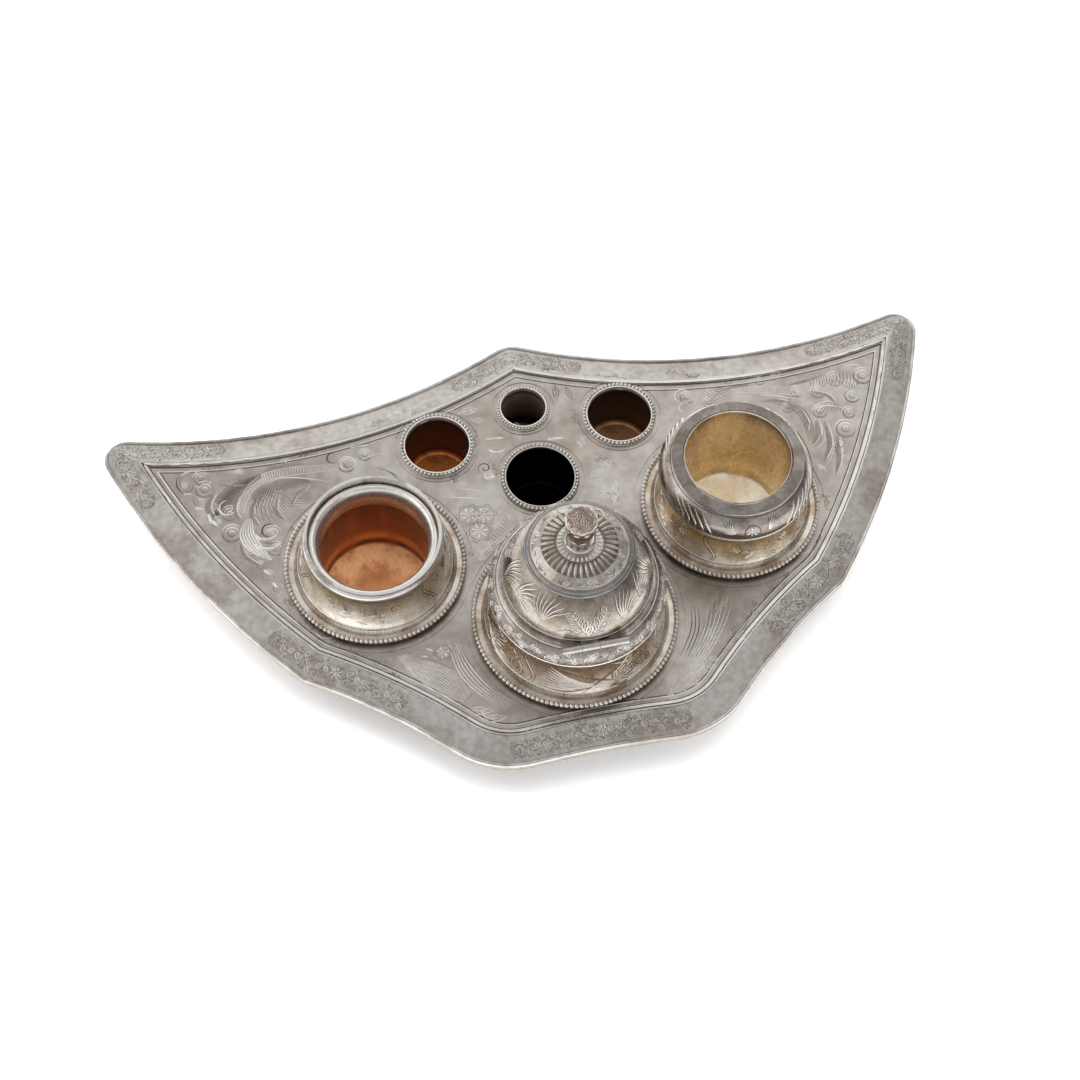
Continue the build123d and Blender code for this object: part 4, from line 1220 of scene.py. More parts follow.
@dataclass
class Tray:
    """The tray: panel, border, mouldings, wells and feet."""
    line_inset: float = 4.4       # fine engraved line, inward from the panel's edge
    # the reeds' round tops are lighter than the moulding as painted highlight; the dark lines are painted
    # shade beside the reeds and the fine line
    reeds: tuple[Point, ...] = ((1.55, 1.15), (0.4, 0.55))      # inset and width of the reeds' round tops
    groove_shade_lines: tuple[Point, ...] = ((0.88, 0.35), (2.6, 0.5), (4.9, 0.45))    # the same, of dark lines
    well_lip: float = 0.35        # how high a well's lip is rounded
    well_wall: float = 0.6        # thickness of its wall and floor
    well_fillet: float = 2.2      # between its wall and its floor
    seat: float = 0.5             # thickness of its flange
    pearl: float = 0.7            # radius of the pearls round it
    small_pearl: float = 0.55     # the same, at the back
    pearl_pitch: float = 2.28     # over the radius of a pearl

    def build(self) -> None:
        """Makes and dresses every piece of the tray."""
        dressed("tray_panel", SILVER_PANEL, Body.TRAY, "silver_panel")
        dressed("border_band", SILVER_BAND, Body.TRAY, "silver_border")
        for node in ("inner_moulding", "edge_wire"):
            dressed(node, SILVER_EDGE, Body.TRAY, "silver_edge", crease=50.0)
        for row in ("front", "back"):
            for side in ("left", "right"):
                dressed(f"foot_{row}_{side}", FEET, Body.TRAY, "silver_feet")
        for name in ("left", "right", "back", "middle"):
            self.well(name)
        self.lines()

    def well(self, name: str) -> None:
        """One sunk cup with a rounded lip, and its pearls.

        Args:
            name: which of the four.
        """
        cup, collar = f"well_cup_{name}", f"well_collar_{name}"
        axis = axis_of(cup)
        low, high = span_of(cup)
        flange = radius_of(cup)
        bead = self.small_pearl if name == "back" else self.pearl
        outside = flange - 2 * bead
        inside = outside - self.well_wall
        floor, fillet, lip, seat = low + self.well_wall, self.well_fillet, self.well_lip, PANEL + self.seat
        profile = [(0.0, floor), *bow((inside - fillet, floor), (inside, floor + fillet), 0.41 * fillet),
                   *bow((inside, high - lip), (outside, high - lip), -lip, 6),
                   (outside, seat), (flange, seat), (flange, PANEL), (outside, PANEL),
                   (outside, low), (0.0, low)]
        # Colours up each well's lining: the walls of the left and right wells darken from the bright floor up
        # to the lip, the back well is dark low down, and all four darken just under the lip: painted shade
        # inside the narrow wells. The middle well is near black all the way up.
        lip_tone = (PANEL + 0.7, (0.88, 0.87, 0.85))
        colours = {"left": ((low, (0.78, 0.47, 0.24)), (low + 1.2, (0.74, 0.42, 0.2)),
                            (low + 2.6, (0.36, 0.19, 0.12)), (PANEL - 5, (0.26, 0.16, 0.12)),
                            (PANEL - 1, (0.18, 0.15, 0.13)), lip_tone),
                   "right": ((low, (0.68, 0.50, 0.36)), (low + 1.2, (0.60, 0.42, 0.28)),
                             (low + 2.6, (0.26, 0.17, 0.13)), (PANEL - 5, (0.2, 0.14, 0.11)),
                             (PANEL - 1, (0.16, 0.13, 0.11)), lip_tone),
                   "back": ((low, (0.1, 0.09, 0.08)), (low + 5, (0.16, 0.14, 0.12)),
                            (low + 9, (0.46, 0.40, 0.31)), (PANEL - 3, (0.62, 0.55, 0.45)),
                            (PANEL - 1, (0.2, 0.18, 0.15)), lip_tone),
                   "middle": ((low, (0.06, 0.055, 0.05)), (PANEL - 1, (0.07, 0.065, 0.06)),
                              (PANEL, (0.2, 0.19, 0.18)), (PANEL + 0.9, (0.88, 0.87, 0.85)))}
        stain, metal = ((0.07, 0.06, 0.055), 1.0) if name == "middle" else ((0.40, 0.26, 0.17), 0.7)
        finish = Finish(f"well_{name}_lining", colours[name], 0.36, stain, 0.2, 6.0, axis=axis, turning=0.02,
                        metal=metal)
        slots = {"back": "gilt_cup", "middle": "dark_cup"}
        settled(turned(f"{cup}_drawn", profile, axis, 96), finish, Body.TRAY, slots.get(name, "copper_cup"),
                cup)
        Pearls(collar, Body.TRAY, bead, self.pearl_pitch * bead).build()

    def lines(self) -> None:
        """The fine double line inside the moulding, the reeds' round tops lighter as painted highlight, and
        the dark lines beside them as painted shade in the grooves.
        """
        top = tray_top()
        bright = Chasing("panel_line_bright", top, GLINT_CUT, Body.TRAY, "silver_edge", fullness=0.35)
        dark = Chasing("panel_line_dark", top, DARK_CUT, Body.TRAY, "silver_panel", fullness=0.1)
        edge = panel_outline(2.0)
        reeds = Chasing("moulding_reeds", top, GLINT_CUT, Body.TRAY, "silver_edge", fullness=0.55)
        bright.trail(moved_in(edge, self.line_inset), 0.55)
        for pen, lines in ((dark, self.groove_shade_lines), (reeds, self.reeds)):
            for inset, width in lines:
                pen.trail(moved_in(edge, inset), width)
        for pen in (bright, dark, reeds):
            pen.make()


# hollows beaten into the wings: x, y, size and heading in degrees
HOLLOWS = (
    (-127, 51.6, 3.4, 8), (-126.5, 46.2, 3.8, -5), (-132.8, 48.6, 2.4, 60), (-129.3, 41.6, 2.2, -40),
    (-124.6, 36.6, 2.8, -70), (-118.6, 33.9, 3.4, 10), (-124, 30.6, 1.8, -60), (-119, 25.1, 4, 0),
    (-104.7, 21.6, 4.2, -20), (-103.8, 15.2, 3.2, -14), (-108.4, 4.6, 2.4, -30), (-105.5, -1.6, 2, -50),
    (-110.4, 9.4, 1.8, 0), (-114, 14.6, 2.2, -30), (-112.4, 50.2, 2.6, 6), (-94.6, 51.6, 2.4, 2),
    (-71.5, 46.6, 3.6, 0), (-64, 49.6, 2.8, 10), (-100.4, 6, 1.8, -60),
    (134.6, 47, 4, 0), (128, 38.6, 3.2, 0), (124.6, 31.4, 2.8, 0), (121.4, 24.4, 4.2, 0),
    (117, 16.4, 3, -5), (106, 8.8, 2, -60), (115.4, 43.4, 3.4, 20), (123.2, 47.6, 3.6, 15),
    (129, 44, 2.4, -10), (113.6, 34.2, 3.2, 10), (107, 45, 2.8, 0), (101.6, 38.2, 2.4, 20),
    (64, 50.6, 3, 0), (72, 46.6, 2.6, 20), (94, 53, 2.4, 4), (82, 55.6, 2.2, 2))
# long soft strokes beside them: points and width
SHADES = (
    (((-123.5, 43.5), (-126.4, 38), (-125.2, 32)), 2.4), (((-114.6, 40.5), (-116.6, 35), (-115.4, 30)), 1.6),
    (((-108, 38.5), (-110.6, 32), (-108.8, 26)), 1.8), (((-99, 38), (-101.4, 32), (-98.8, 26.4)), 1.6),
    (((-116.8, 20.4), (-115.4, 14), (-110.8, 9)), 1.6), (((-95.4, 33), (-92.4, 37), (-87.4, 40)), 1.6),
    (((-121, 47.4), (-115, 45.6), (-109, 44.8)), 1.4), (((-104, 49.8), (-95, 50.6), (-86, 50.2)), 1.2),
    (((111, 30.4), (110.2, 24.2), (106.6, 20)), 2.4), (((114, 29), (113.4, 19), (109, 12)), 2.2),
    (((117, 22), (115.4, 12.6), (112, 5.6)), 2.2), (((106, 36), (107.2, 30.4), (105.6, 25.2)), 1.6),
    (((120.6, 35.4), (118.6, 40.6), (112.6, 43.8)), 1.6), (((104, 48.4), (112, 49), (120, 50.4)), 1.4),
    (((92, 43), (98, 42.4), (104, 40.4)), 1.4), (((78, 51), (84, 51.8), (92, 51.2)), 1.2))


class Pens(NamedTuple):
    """The pens that draw on the panel."""
    bright: Chasing
    soft: Chasing
    dark: Chasing


@dataclass
class PanelChasing:
    """The engraving on the panel and the punched flowers on the border.

    Attributes:
        band_middle: middle of the border band, outward from the panel's edge.
        ground_breadth: breadth of the punched ground across the band.
        pens: what draws on the panel.
    """
    band_middle: float = 4.6
    ground_breadth: float = 6.4
    pens: Pens = field(init=False)

    def build(self) -> None:
        """Draws all of it, with one pen for bright cuts, one for soft ones and one for dark ones."""
        top = tray_top()
        self.pens = Pens(Chasing("panel_bright_cuts", top, GLINT_CUT, Body.TRAY, "silver_edge",
                                 fullness=0.42),
                         Chasing("panel_soft_cuts", top, SOFT_CUT, Body.TRAY, "silver_panel", fullness=0.3),
                         Chasing("panel_dark_cuts", top, DARK_CUT, Body.TRAY, "silver_panel", fullness=0.2))
        self.hollows(top)
        for draw in (self.left_wing, self.right_wing, self.middle, self.front, self.sprigs):
            draw()
        for pen in self.pens:
            pen.make()
        self.border(top)

    @staticmethod
    def hollows(top: Plate) -> None:
        """Broad, shallow hollows of the wings: light on the far side of each, shade on the near side.

        Args:
            top: the tray's top.
        """
        light = Chasing("panel_hollows_light", top, HOLLOW_LIGHT, Body.TRAY, "silver_panel", fullness=0.12)
        shade = Chasing("panel_hollows_shade", top, HOLLOW_SHADE, Body.TRAY, "silver_panel", fullness=0.08)
        for x, y, size, heading in HOLLOWS:
            shade.arc(x, y, 0.9 * size, heading + 160, 170, 0.3 * size, 0.1)
            shade.arc(x, y, 0.35 * size, heading + 140, 190, 0.2 * size, 0.1)
            for radius, start, sweep, width in ((0.95, 30, 130, 0.2), (0.62, 10, 150, 0.26),
                                                (0.25, 0, 170, 0.24)):
                light.arc(x, y, radius * size, heading + start, sweep, width * size, 0.1)
        for points, width in SHADES:
            shade.stroke(points, width, 0.15, 0.05)
            light.stroke([(x + 0.6 * width, y + 0.1 * width) for x, y in points], 0.4 * width, 0.1, 0.05)
        light.make()
        shade.make()

    def left_wing(self) -> None:
        """Ribbon, feather, scoops and curls on the left wing."""
        bright, soft, dark = self.pens
        outer = [(-105, 49), (-116, 46.5), (-123, 41), (-127, 33)]
        inner = [(-105, 46.8), (-111, 43), (-116.5, 38), (-120, 34)]
        bright.ribbon([(-75, 46), (-88, 47.3), (-99, 47.6), (-107, 45), (-112, 39.5), (-114.5, 33)], 3.6,
                      1.05, 0.3)
        each(dark.shade, (outer, inner, 46, 0.42, 0.08),
             ([(-109.5, 41.5), (-104, 44.4), (-97, 45), (-89, 43.6)],
              [(-109, 33), (-103, 36.5), (-95, 39.5), (-86, 40.5)], 34, 0.3, 0.05))
        each(soft.follow, (outer, inner, 7, 0.3),
             ([(-105, 43), (-109, 37), (-109, 30), (-104, 23)],
              [(-96, 42.5), (-96, 36), (-93, 31), (-89, 29.5)], 15, 0.38),
             ([(-94, 43), (-84, 40.5)], [(-97, 33), (-90, 31)], 10, 0.25),
             ([(-62, 44), (-56, 40), (-52, 36)], [(-60, 43), (-55.5, 39), (-52.5, 34)], 3, 0.4))
        soft.shade([(-98, 51), (-106, 50.5), (-117, 49)], [(-97, 49.2), (-106, 48.6), (-116, 47)], 16, 0.35)
        each(bright.arc, (-131, 50.5, 4.8, 55, 85, 1.1), (-106, 24, 4.4, 195, 130, 1.5),
             (-106, 21, 5.6, 205, 115, 1.8), (-119, 36.4, 3.2, 80, 260, 0.9),
             (-71, 46.6, 2.9, -60, 320, 0.6))
        each(dark.arc, (-131.5, 50.5, 5.2, 140, 95, 0.6), (-105, 23.4, 2.8, 20, 250, 0.8),
             (-76.5, 50.5, 2.2, 70, 200, 0.7))
        soft.arc(-131.5, 50.5, 4.0, 120, 120, 0.5)
        each(bright.scoop, (-134.5, 45.5, -10, 3.2, 1.2), (-131, 38.5, -20, 3.2, 1.3),
             (-126.5, 35, -80, 4.5, 1.3), (-103.6, 23.6, 200, 2.6, 1.2), (-125.5, 32, -60, 3.4, 1.2),
             (-109.5, 7, -50, 3.4, 1.1), (-107, 1, -60, 3.2, 1.0), (-69, 53.6, 0, 7.0, 1.2))
        each(bright.follow,
             ([(-103, 41), (-107.5, 34), (-107, 27)], [(-98, 41), (-100, 34), (-98, 28)], 6, 0.3),
             ([(-113, 30), (-116, 24), (-114.5, 18), (-110.5, 13)],
              [(-110.5, 30), (-111, 24), (-109, 17.5), (-106, 10.5)], 6, 0.7))
        each(bright.stroke, ([(-104, 43.6), (-98, 45.4), (-90, 44), (-80, 40.5)], 0.6),
             ([(-66, 47.2), (-62, 48.4), (-57, 48.8)], 0.9))
        each(soft.curl, (-119, 36.4, 2.2, 40, 1.2, -1, 0.5), (-71, 46.6, 1.8, 0, 1.1, 1, 0.4))
        soft.leaf(-102, 51.4, -4, 10, 2.6, 0.35, 2)

    def right_wing(self) -> None:
        """Rings, scoops, ribbon and claws on the right wing."""
        bright, soft, _ = self.pens
        each(bright.arc, (131.5, 45.5, 7.2, 50, 80, 0.7), (62.6, 51.6, 3.1, 10, 300, 0.7),
             (62.2, 46, 2.2, 20, 240, 0.9))
        soft.arc(116.4, 19.4, 3.0, 170, 200, 0.5)
        bright.shade([(111, 50), (120, 50.6), (131, 47.5)], [(109, 42.5), (119, 43), (128, 38)], 22, 0.4,
                     0.12)
        each(soft.shade,
             ([(113, 51), (124, 51), (133, 49)], [(112, 44), (121, 44.5), (129, 41)], 15, 0.4, 0.12),
             ([(112, 35.4), (116, 38), (121, 37.4)], [(113, 31.5), (117, 33), (122, 32)], 9, 0.4),
             ([(69, 46.5), (75, 53)], [(74, 45), (83, 49.5)], 10, 0.4, 0.1))
        bright.ribbon([(84, 50), (92, 48.7), (101, 46.6), (111, 43)], 3.4, 1.05, 0.3)
        each(bright.stroke, ([(92, 46), (98, 44.6), (105, 41.8)], 0.7),
             ([(112, 33), (115, 36), (119, 35.6), (123, 33.6)], 0.9),
             ([(114, 37.5), (118, 38), (121, 36.4)], 0.6))
        soft.follow([(100, 41), (107, 37), (109, 29), (107, 21)],
                    [(96, 42), (104, 36), (106, 29), (105.5, 22)], 4, 0.5)
        bright.scoop(107.4, 10.4, -70, 4.0, 1.2)
        soft.curl(62.6, 51.6, 2.0, 60, 1.2, 1, 0.4)
        bright.follow([(72, 54), (76, 50), (79, 46.8)], [(68, 52), (71, 48.6), (73, 45.6)], 5, 0.35)
        for x, y, radius in ((134.6, 47.0, 3.7), (128.0, 38.6, 2.9), (124.6, 31.4, 2.2), (121.4, 24.4, 3.6)):
            soft.arc(x, y, radius, 30, 330, 0.4)
        for path in ([(111.5, 28), (110.5, 22), (106.5, 18)], [(114, 28), (113, 17.5), (108, 10)],
                     [(115.6, 21), (114.4, 11), (111.4, 4)]):
            soft.stroke(path, 0.5)
            bright.stroke([(x + 1.6, y - 0.6) for x, y in path], 0.35)

    def middle(self) -> None:
        """Crescents, curls, flowers and sprigs round the wells."""
        bright, soft, dark = self.pens
        each(bright.scoop, (-17, 46.8, -2, 7, 1.5), (6.5, 42.2, -4, 6.5, 1.5), (-20.5, 30, -8, 4, 1.3))
        each(bright.arc, (-13.4, 44, 3.6, 200, 120, 1.0), (9.4, 44.6, 3.0, 210, 110, 0.8))
        each(bright.leaf, (-25.5, 61, 4, 8.5, 2.8, 0.5, 2), (-21, 57.5, -25, 5.5, 2.0, 0.4),
             (18.5, 22.4, 24, 7, 2.4, 0.45, 2), (24, 27, 8, 6, 2.2, 0.4, 1))
        each(soft.leaf, (14.5, 67, -95, 8, 2.4, 0.45, 2), (18.5, 65, -80, 7, 2.0, 0.4))
        dark.curl(-20, 34.4, 2.8, 230, 1.3, 1, 0.55)
        bright.curl(-18.6, 30.6, 2.6, 60, 1.2, -1, 0.7)
        each(bright.stroke, ([(-38, 25), (-31, 23), (-24, 21.2)], 0.7),
             ([(-33, 27.6), (-27, 26), (-22, 23.4)], 0.5))
        each(bright.spray, ([(-31, -5), (-27, -1), (-21.5, 2.6)], 5, 3.6, 1.5),
             ([(20, 13), (26, 16), (34.5, 18.5)], 7, 4.0, 1.7, 0.4),
             ([(24, 8), (27, 12), (28, 18)], 5, 3.4, 1.5, 0.4))
        soft.shade([(-26, 4), (-20, 8), (-17, 12)], [(-23, 1), (-18, 5), (-15.5, 9)], 9, 0.35)
        each(soft.spray, ([(-47, 62), (-40, 65), (-31, 67)], 5, 3.6, 1.5, 0.3),
             ([(47, 62), (40, 65.4), (31, 68)], 5, 3.6, 1.5, 0.3))
        for x, y in ((-30, 15), (-24.4, 14), (-27.4, 7.4)):
            self.flower(bright, soft, x, y, 3.6)

    def front(self) -> None:
        """Sweeping fans and leaf sprays on both sides of the middle pot."""
        bright, soft, dark = self.pens
        each(bright.follow,
             ([(-67, -39), (-62, -48), (-55, -56), (-47, -61.5)],
              [(-64, -38), (-55, -43.5), (-47, -50), (-43.5, -58)], 15, 0.34),
             ([(-48, -38), (-46, -50), (-40, -60), (-32, -67)],
              [(-44.4, -37), (-41.5, -48), (-36, -58), (-29, -65)], 5, 0.45),
             ([(60, -38), (54, -49), (43, -62), (26, -73)], [(50, -38), (46.4, -49), (38, -60), (23, -71)],
              6, 0.42))
        each(soft.follow,
             ([(-66, -40.5), (-61, -49.5), (-54, -57.5), (-48, -62)],
              [(-60, -39), (-52, -44.5), (-46, -52), (-43, -60)], 12, 0.4),
             ([(46, -62), (58, -54), (72, -41)], [(46, -50), (52, -45.4), (60, -39)], 13, 0.34),
             ([(60.3, -31.8), (52.3, -43.1), (41.5, -60.7)], [(57.2, -33.6), (48.8, -44.6), (38.4, -60.4)],
              5, 0.32))
        each(dark.follow,
             ([(-47, -40), (-44.6, -50), (-39, -60)], [(-43.6, -40), (-40.6, -50), (-35, -59.5)], 4, 0.4),
             ([(46, -40), (43.6, -50), (37, -60)], [(43.4, -40), (41, -49), (34.6, -59)], 3, 0.4))
        each(bright.leaf, (-46.5, -65, -12, 10, 3.0, 0.5, 2), (-42, -69.6, -4, 10, 2.6, 0.5, 1))
        bright.arc(-37, -66, 4.0, 150, 130, 0.6)
        each(bright.scoop, (-59, -39.6, -30, 3, 1.2), (-56, -37.2, -40, 2.6, 1.0))
        each(bright.spray, ([(28, -73.4), (36, -69), (46, -61)], 7, 5.4, 2.0, 0.45),
             ([(24.2, -75.0), (34.7, -67.6), (45.6, -64.3)], 7, 4.6, 1.8, 0.4))
        soft.spray([(52, -57), (60, -51), (68, -43)], 6, 4.2, 1.6, 0.35)
        self.flower(bright, soft, -50.5, -40, 2.6)
        for x, y, heading in ((45.9, -53.2, 40), (57.3, -58.3, 30), (64.9, -48.5, 50)):
            bright.leaf(x, y, heading, 5.4, 2.2, 0.4, 1)
        for hand in (-1, 1):
            bright.arc(hand * 90, -21, 5.0, 190 if hand < 0 else 250, 100, 0.5)
            soft.spray([(hand * 84, -32), (hand * 78, -37), (hand * 70, -41)], 4, 3.2, 1.4, 0.3)

    def sprigs(self) -> None:
        """Small faint sprigs and curls in the places that are left between the larger ornament."""
        bright, soft, dark = self.pens
        places = ((-60, 62, 20), (-53, 66, 10), (-12, 72, 160), (10, 73, 20), (-14, 30, 120), (18, 36, 60),
                  (22, 30, -20), (-22, 44, 80), (20, 46, 100), (-4, 44, 90), (58, 64, -10), (72, 60, 170),
                  (90, 57, 175), (104, 54, 170), (-90, 53, 10), (-84, 56, 190), (-118, 54, 170),
                  (-36, 5, -60), (-30, -12, -90), (36, 6, -70), (30, -8, -100), (-44, 22, 150),
                  (44, 24, 30), (-33, 30, 60), (104, -2, -80), (100, -12, -120), (-104, -6, -70),
                  (-98, -16, -60), (-90, -28, -30), (-28, -78, 10), (-10, -79.5, 4), (8, -80, -4),
                  (20, -78, -10), (62, -56, 40), (76, -46, 40), (-72, -44, -50), (-58, -58, -40),
                  (112, 44, 160), (104, 36, 100), (-97, 24, -70))
        for k, (x, y, heading) in enumerate(places):
            pen = (soft, bright, soft, dark)[k % 4]
            stem = [(x, y), off(x, y, heading, 3, 0.8), off(x, y, heading, 6)]
            pen.spray(stem, 5, 2.6, 1.1, 0.26)
            soft.curl(*off(x, y, heading, 7.2), 1.4, heading + 120, 1.1, 1 if k % 2 else -1, 0.26)

    @staticmethod
    def flower(bright: Chasing, soft: Chasing, x: float, y: float, radius: float) -> None:
        """A round flower in a ring, with small curls about it.

        Args:
            bright: pen of its petals.
            soft: pen of its ring and curls.
            x: its middle.
            y: the same, to the back.
            radius: its radius.
        """
        bright.rosette(x, y, radius, 7, 0.28 * radius)
        soft.arc(x, y, 1.08 * radius, 0, 360, 0.3, 0.9)
        for i in range(6):
            soft.arc(*off(x, y, 60 * i, 1.1 * radius), 0.3 * radius, 60 * i - 100, 200, 0.3)

    def border(self, top: Plate) -> None:
        """Leaf scrolls on a punched ground at the tips, corners, peak and front of the border.

        Args:
            top: the tray's top.
        """
        middle = moved_in(panel_outline(1.0), -self.band_middle)
        leaves = Chasing("border_leaves", top, GLINT_CUT, Body.TRAY, "silver_edge", fullness=1.0)
        stems = Chasing("border_stems", top, SOFT_CUT, Body.TRAY, "silver_border", fullness=0.8)
        grains = Grains("border_ground", top, GROUND, Body.TRAY, "silver_border")
        zones = (((70, -54), (107, -17)), ((150, 42), (116, 66)), ((28, 77), (-28, 77)),
                 ((-116, 66), (-150, 42)), ((-107, -17), (-66, -56)), ((-34, -83), (34, -83)))
        for k, (start, end) in enumerate(zones):
            path = stretch(middle, start, end)
            path = evenly(path, round(float(run_along(path)[-1])))
            grains.along([tuple(p) for p in path[::3]], self.ground_breadth, 0.72, 0.3, seed=k)
            self.scroll(leaves, stems, path)
        for piece in (leaves, stems, grains):
            piece.make()

    @staticmethod
    def scroll(leaves: Chasing, stems: Chasing, path: np.ndarray) -> None:
        """A wavy stem along a path, with leaves in its hollows and a flower in its middle.

        Args:
            leaves: pen of the leaves.
            stems: pen of the stem.
            path: the path.
        """
        tangents, normals = sides_of(path)
        wave = path + normals * (1.6 * np.sin(np.arange(len(path)) * tau / 11))[:, None]
        stems.trail(wave[1:-1], 0.35)
        leaves.trail(wave[1:-1] + normals[1:-1] * 0.3, 0.28)
        for i in range(3, len(path) - 3, 3):
            heading = np.degrees(atan2(tangents[i, 1], tangents[i, 0]))
            side = 1 if (i // 3) % 2 else -1
            leaves.leaf(*wave[i], heading + side * 55, 3.2, 1.6, 0.42)
            leaves.curl(*(wave[i] - normals[i] * side * 1.7), 1.0, heading - side * 70, 1.0, side, 0.34)
            stems.scoop(*(wave[i] - normals[i] * side * 1.2), heading - side * 70, 1.7, 0.5)
        leaves.rosette(*path[len(path) // 2], 2.5, 7, 0.8)


def stretch(path: np.ndarray, start: Point, end: Point) -> np.ndarray:
    """The part of a closed path from the place nearest start to the place nearest end."""
    first, last = (int(np.argmin(np.hypot(path[:, 0] - x, path[:, 1] - y))) for x, y in (start, end))
    return path[first:last + 1] if first <= last else np.vstack([path[first:-1], path[:last + 1]])


# ---- pots
@dataclass
class WallChasing:
    """Bright, soft and dark cuts on one turned wall.

    Attributes:
        name: start of the pieces' names.
        axis: the wall's axis.
        foot: radius and height of the wall's foot.
        top: radius and height of its top.
        swell: how far it bulges.
        body: what it rides on.
    """
    name: str
    axis: Point
    foot: Point
    top: Point
    swell: float
    body: Body

    def __post_init__(self) -> None:
        """Makes the wall and its pens."""
        self.wall = Wall(self.axis, bow(self.foot, self.top, self.swell, 16))
        tones = (("bright", GLINT_CUT, 0.7), ("soft", SOFT_CUT, 0.4), ("brown", BROWN_CUT, 0.5),
                 ("dark", DARK_CUT, 0.3))
        self.bright, self.soft, self.brown, self.dark = (
            Chasing(f"{self.name}_{tone}_cuts", self.wall, finish, self.body, "silver_skirt", fullness)
            for tone, finish, fullness in tones)

    def at(self, angle: float, along: float) -> Point:
        """A place on the wall: degrees from the front, to the right, and the share of its height."""
        return self.wall.across(angle), along * self.wall.length

    def run(self, pen: Chasing, places: Sequence[Point], width: float) -> None:
        """One line through places on the wall."""
        pen.stroke([self.at(*p) for p in places], width)

    def rings(self, *lines: tuple[Chasing, float, float]) -> None:
        """Lines all the way round.

        Args:
            lines: pen, share of the height and width of each.
        """
        marks = np.linspace(-pi, pi, 121) * self.wall.middle
        for pen, along, width in lines:
            pen.trail(np.column_stack([marks, np.full(len(marks), along * self.wall.length)]), width)

    def panel_line(self, angle: float, lean: float) -> None:
        """A double S-shaped line from the foot to the neck.

        Args:
            angle: degrees from the front, to the right.
            lean: how far it swings to each side, in degrees.
        """
        for shift, pen, width in ((0.0, self.dark, 0.4), (1.2, self.bright, 0.3), (2.4, self.dark, 0.3)):
            self.run(pen, [(angle + shift, 0.08), (angle + shift + lean, 0.3), (angle + shift - lean, 0.66),
                           (angle + shift, 0.94)], width)

    def branch(self, angle: float, along: float, heading: float, length: float, count: int, pen: Chasing,
               width: float = 0.6, breadth: float = 2.4) -> None:
        """A straight stem with long leaves on both sides.

        Args:
            angle: its foot in degrees from the front.
            along: its foot up the wall, 0 to 1.
            heading: its direction in degrees.
            length: its length.
            count: how many leaves.
            pen: the pen that draws it.
            width: width of a line.
            breadth: breadth of a leaf.
        """
        foot = self.at(angle, along)
        middle = off(*foot, heading, 0.5 * length)
        stem = [foot, (middle[0], middle[1] + 0.06 * length), off(*foot, heading, length)]
        pen.spray(stem, count, 0.5 * length, breadth, width)

    def fan(self, angle: float, along: float, heading: float, spread: float, count: int, length: float,
            pen: Chasing, width: float = 0.6, bend: float = 0.1) -> None:
        """Strokes that spread from a place on the wall."""
        pen.fan(*self.at(angle, along), heading, spread, count, length, width, bend, 0.08 * length)

    def make(self) -> None:
        """Makes a piece of each pen that was used."""
        for pen in (self.bright, self.soft, self.brown, self.dark):
            pen.make()


PEARL_ROW = 2.2                # height of the pearls at a skirt's foot
SKIRT_SWELL = -1.6             # how far a skirt's wall bows in


def skirt_silver(name: str, heights: Sequence[tuple[float, Colour]], tarnish: Colour, stain: float,
                 patch: float) -> Finish:
    """The worn surface of a skirt, with the dents and turning marks that all three have; its colours by
    height, from the caller, are partly tarnish and partly painted reflection and shade.
    """
    return Finish(f"{name}_silver", tuple(heights), 0.27, tarnish, stain, patch, axis_of(name), turning=0.01,
                  dents=0.25, metal=0.85)


def skirt_wall(name: str, foot: float, neck: float, body: Body) -> WallChasing:
    """The chased wall of a skirt above its pearls, from its radius at the foot to that at the neck."""
    low, high = span_of(name)
    return WallChasing(name, axis_of(name), (foot, low + PEARL_ROW), (neck, high), SKIRT_SWELL, body)


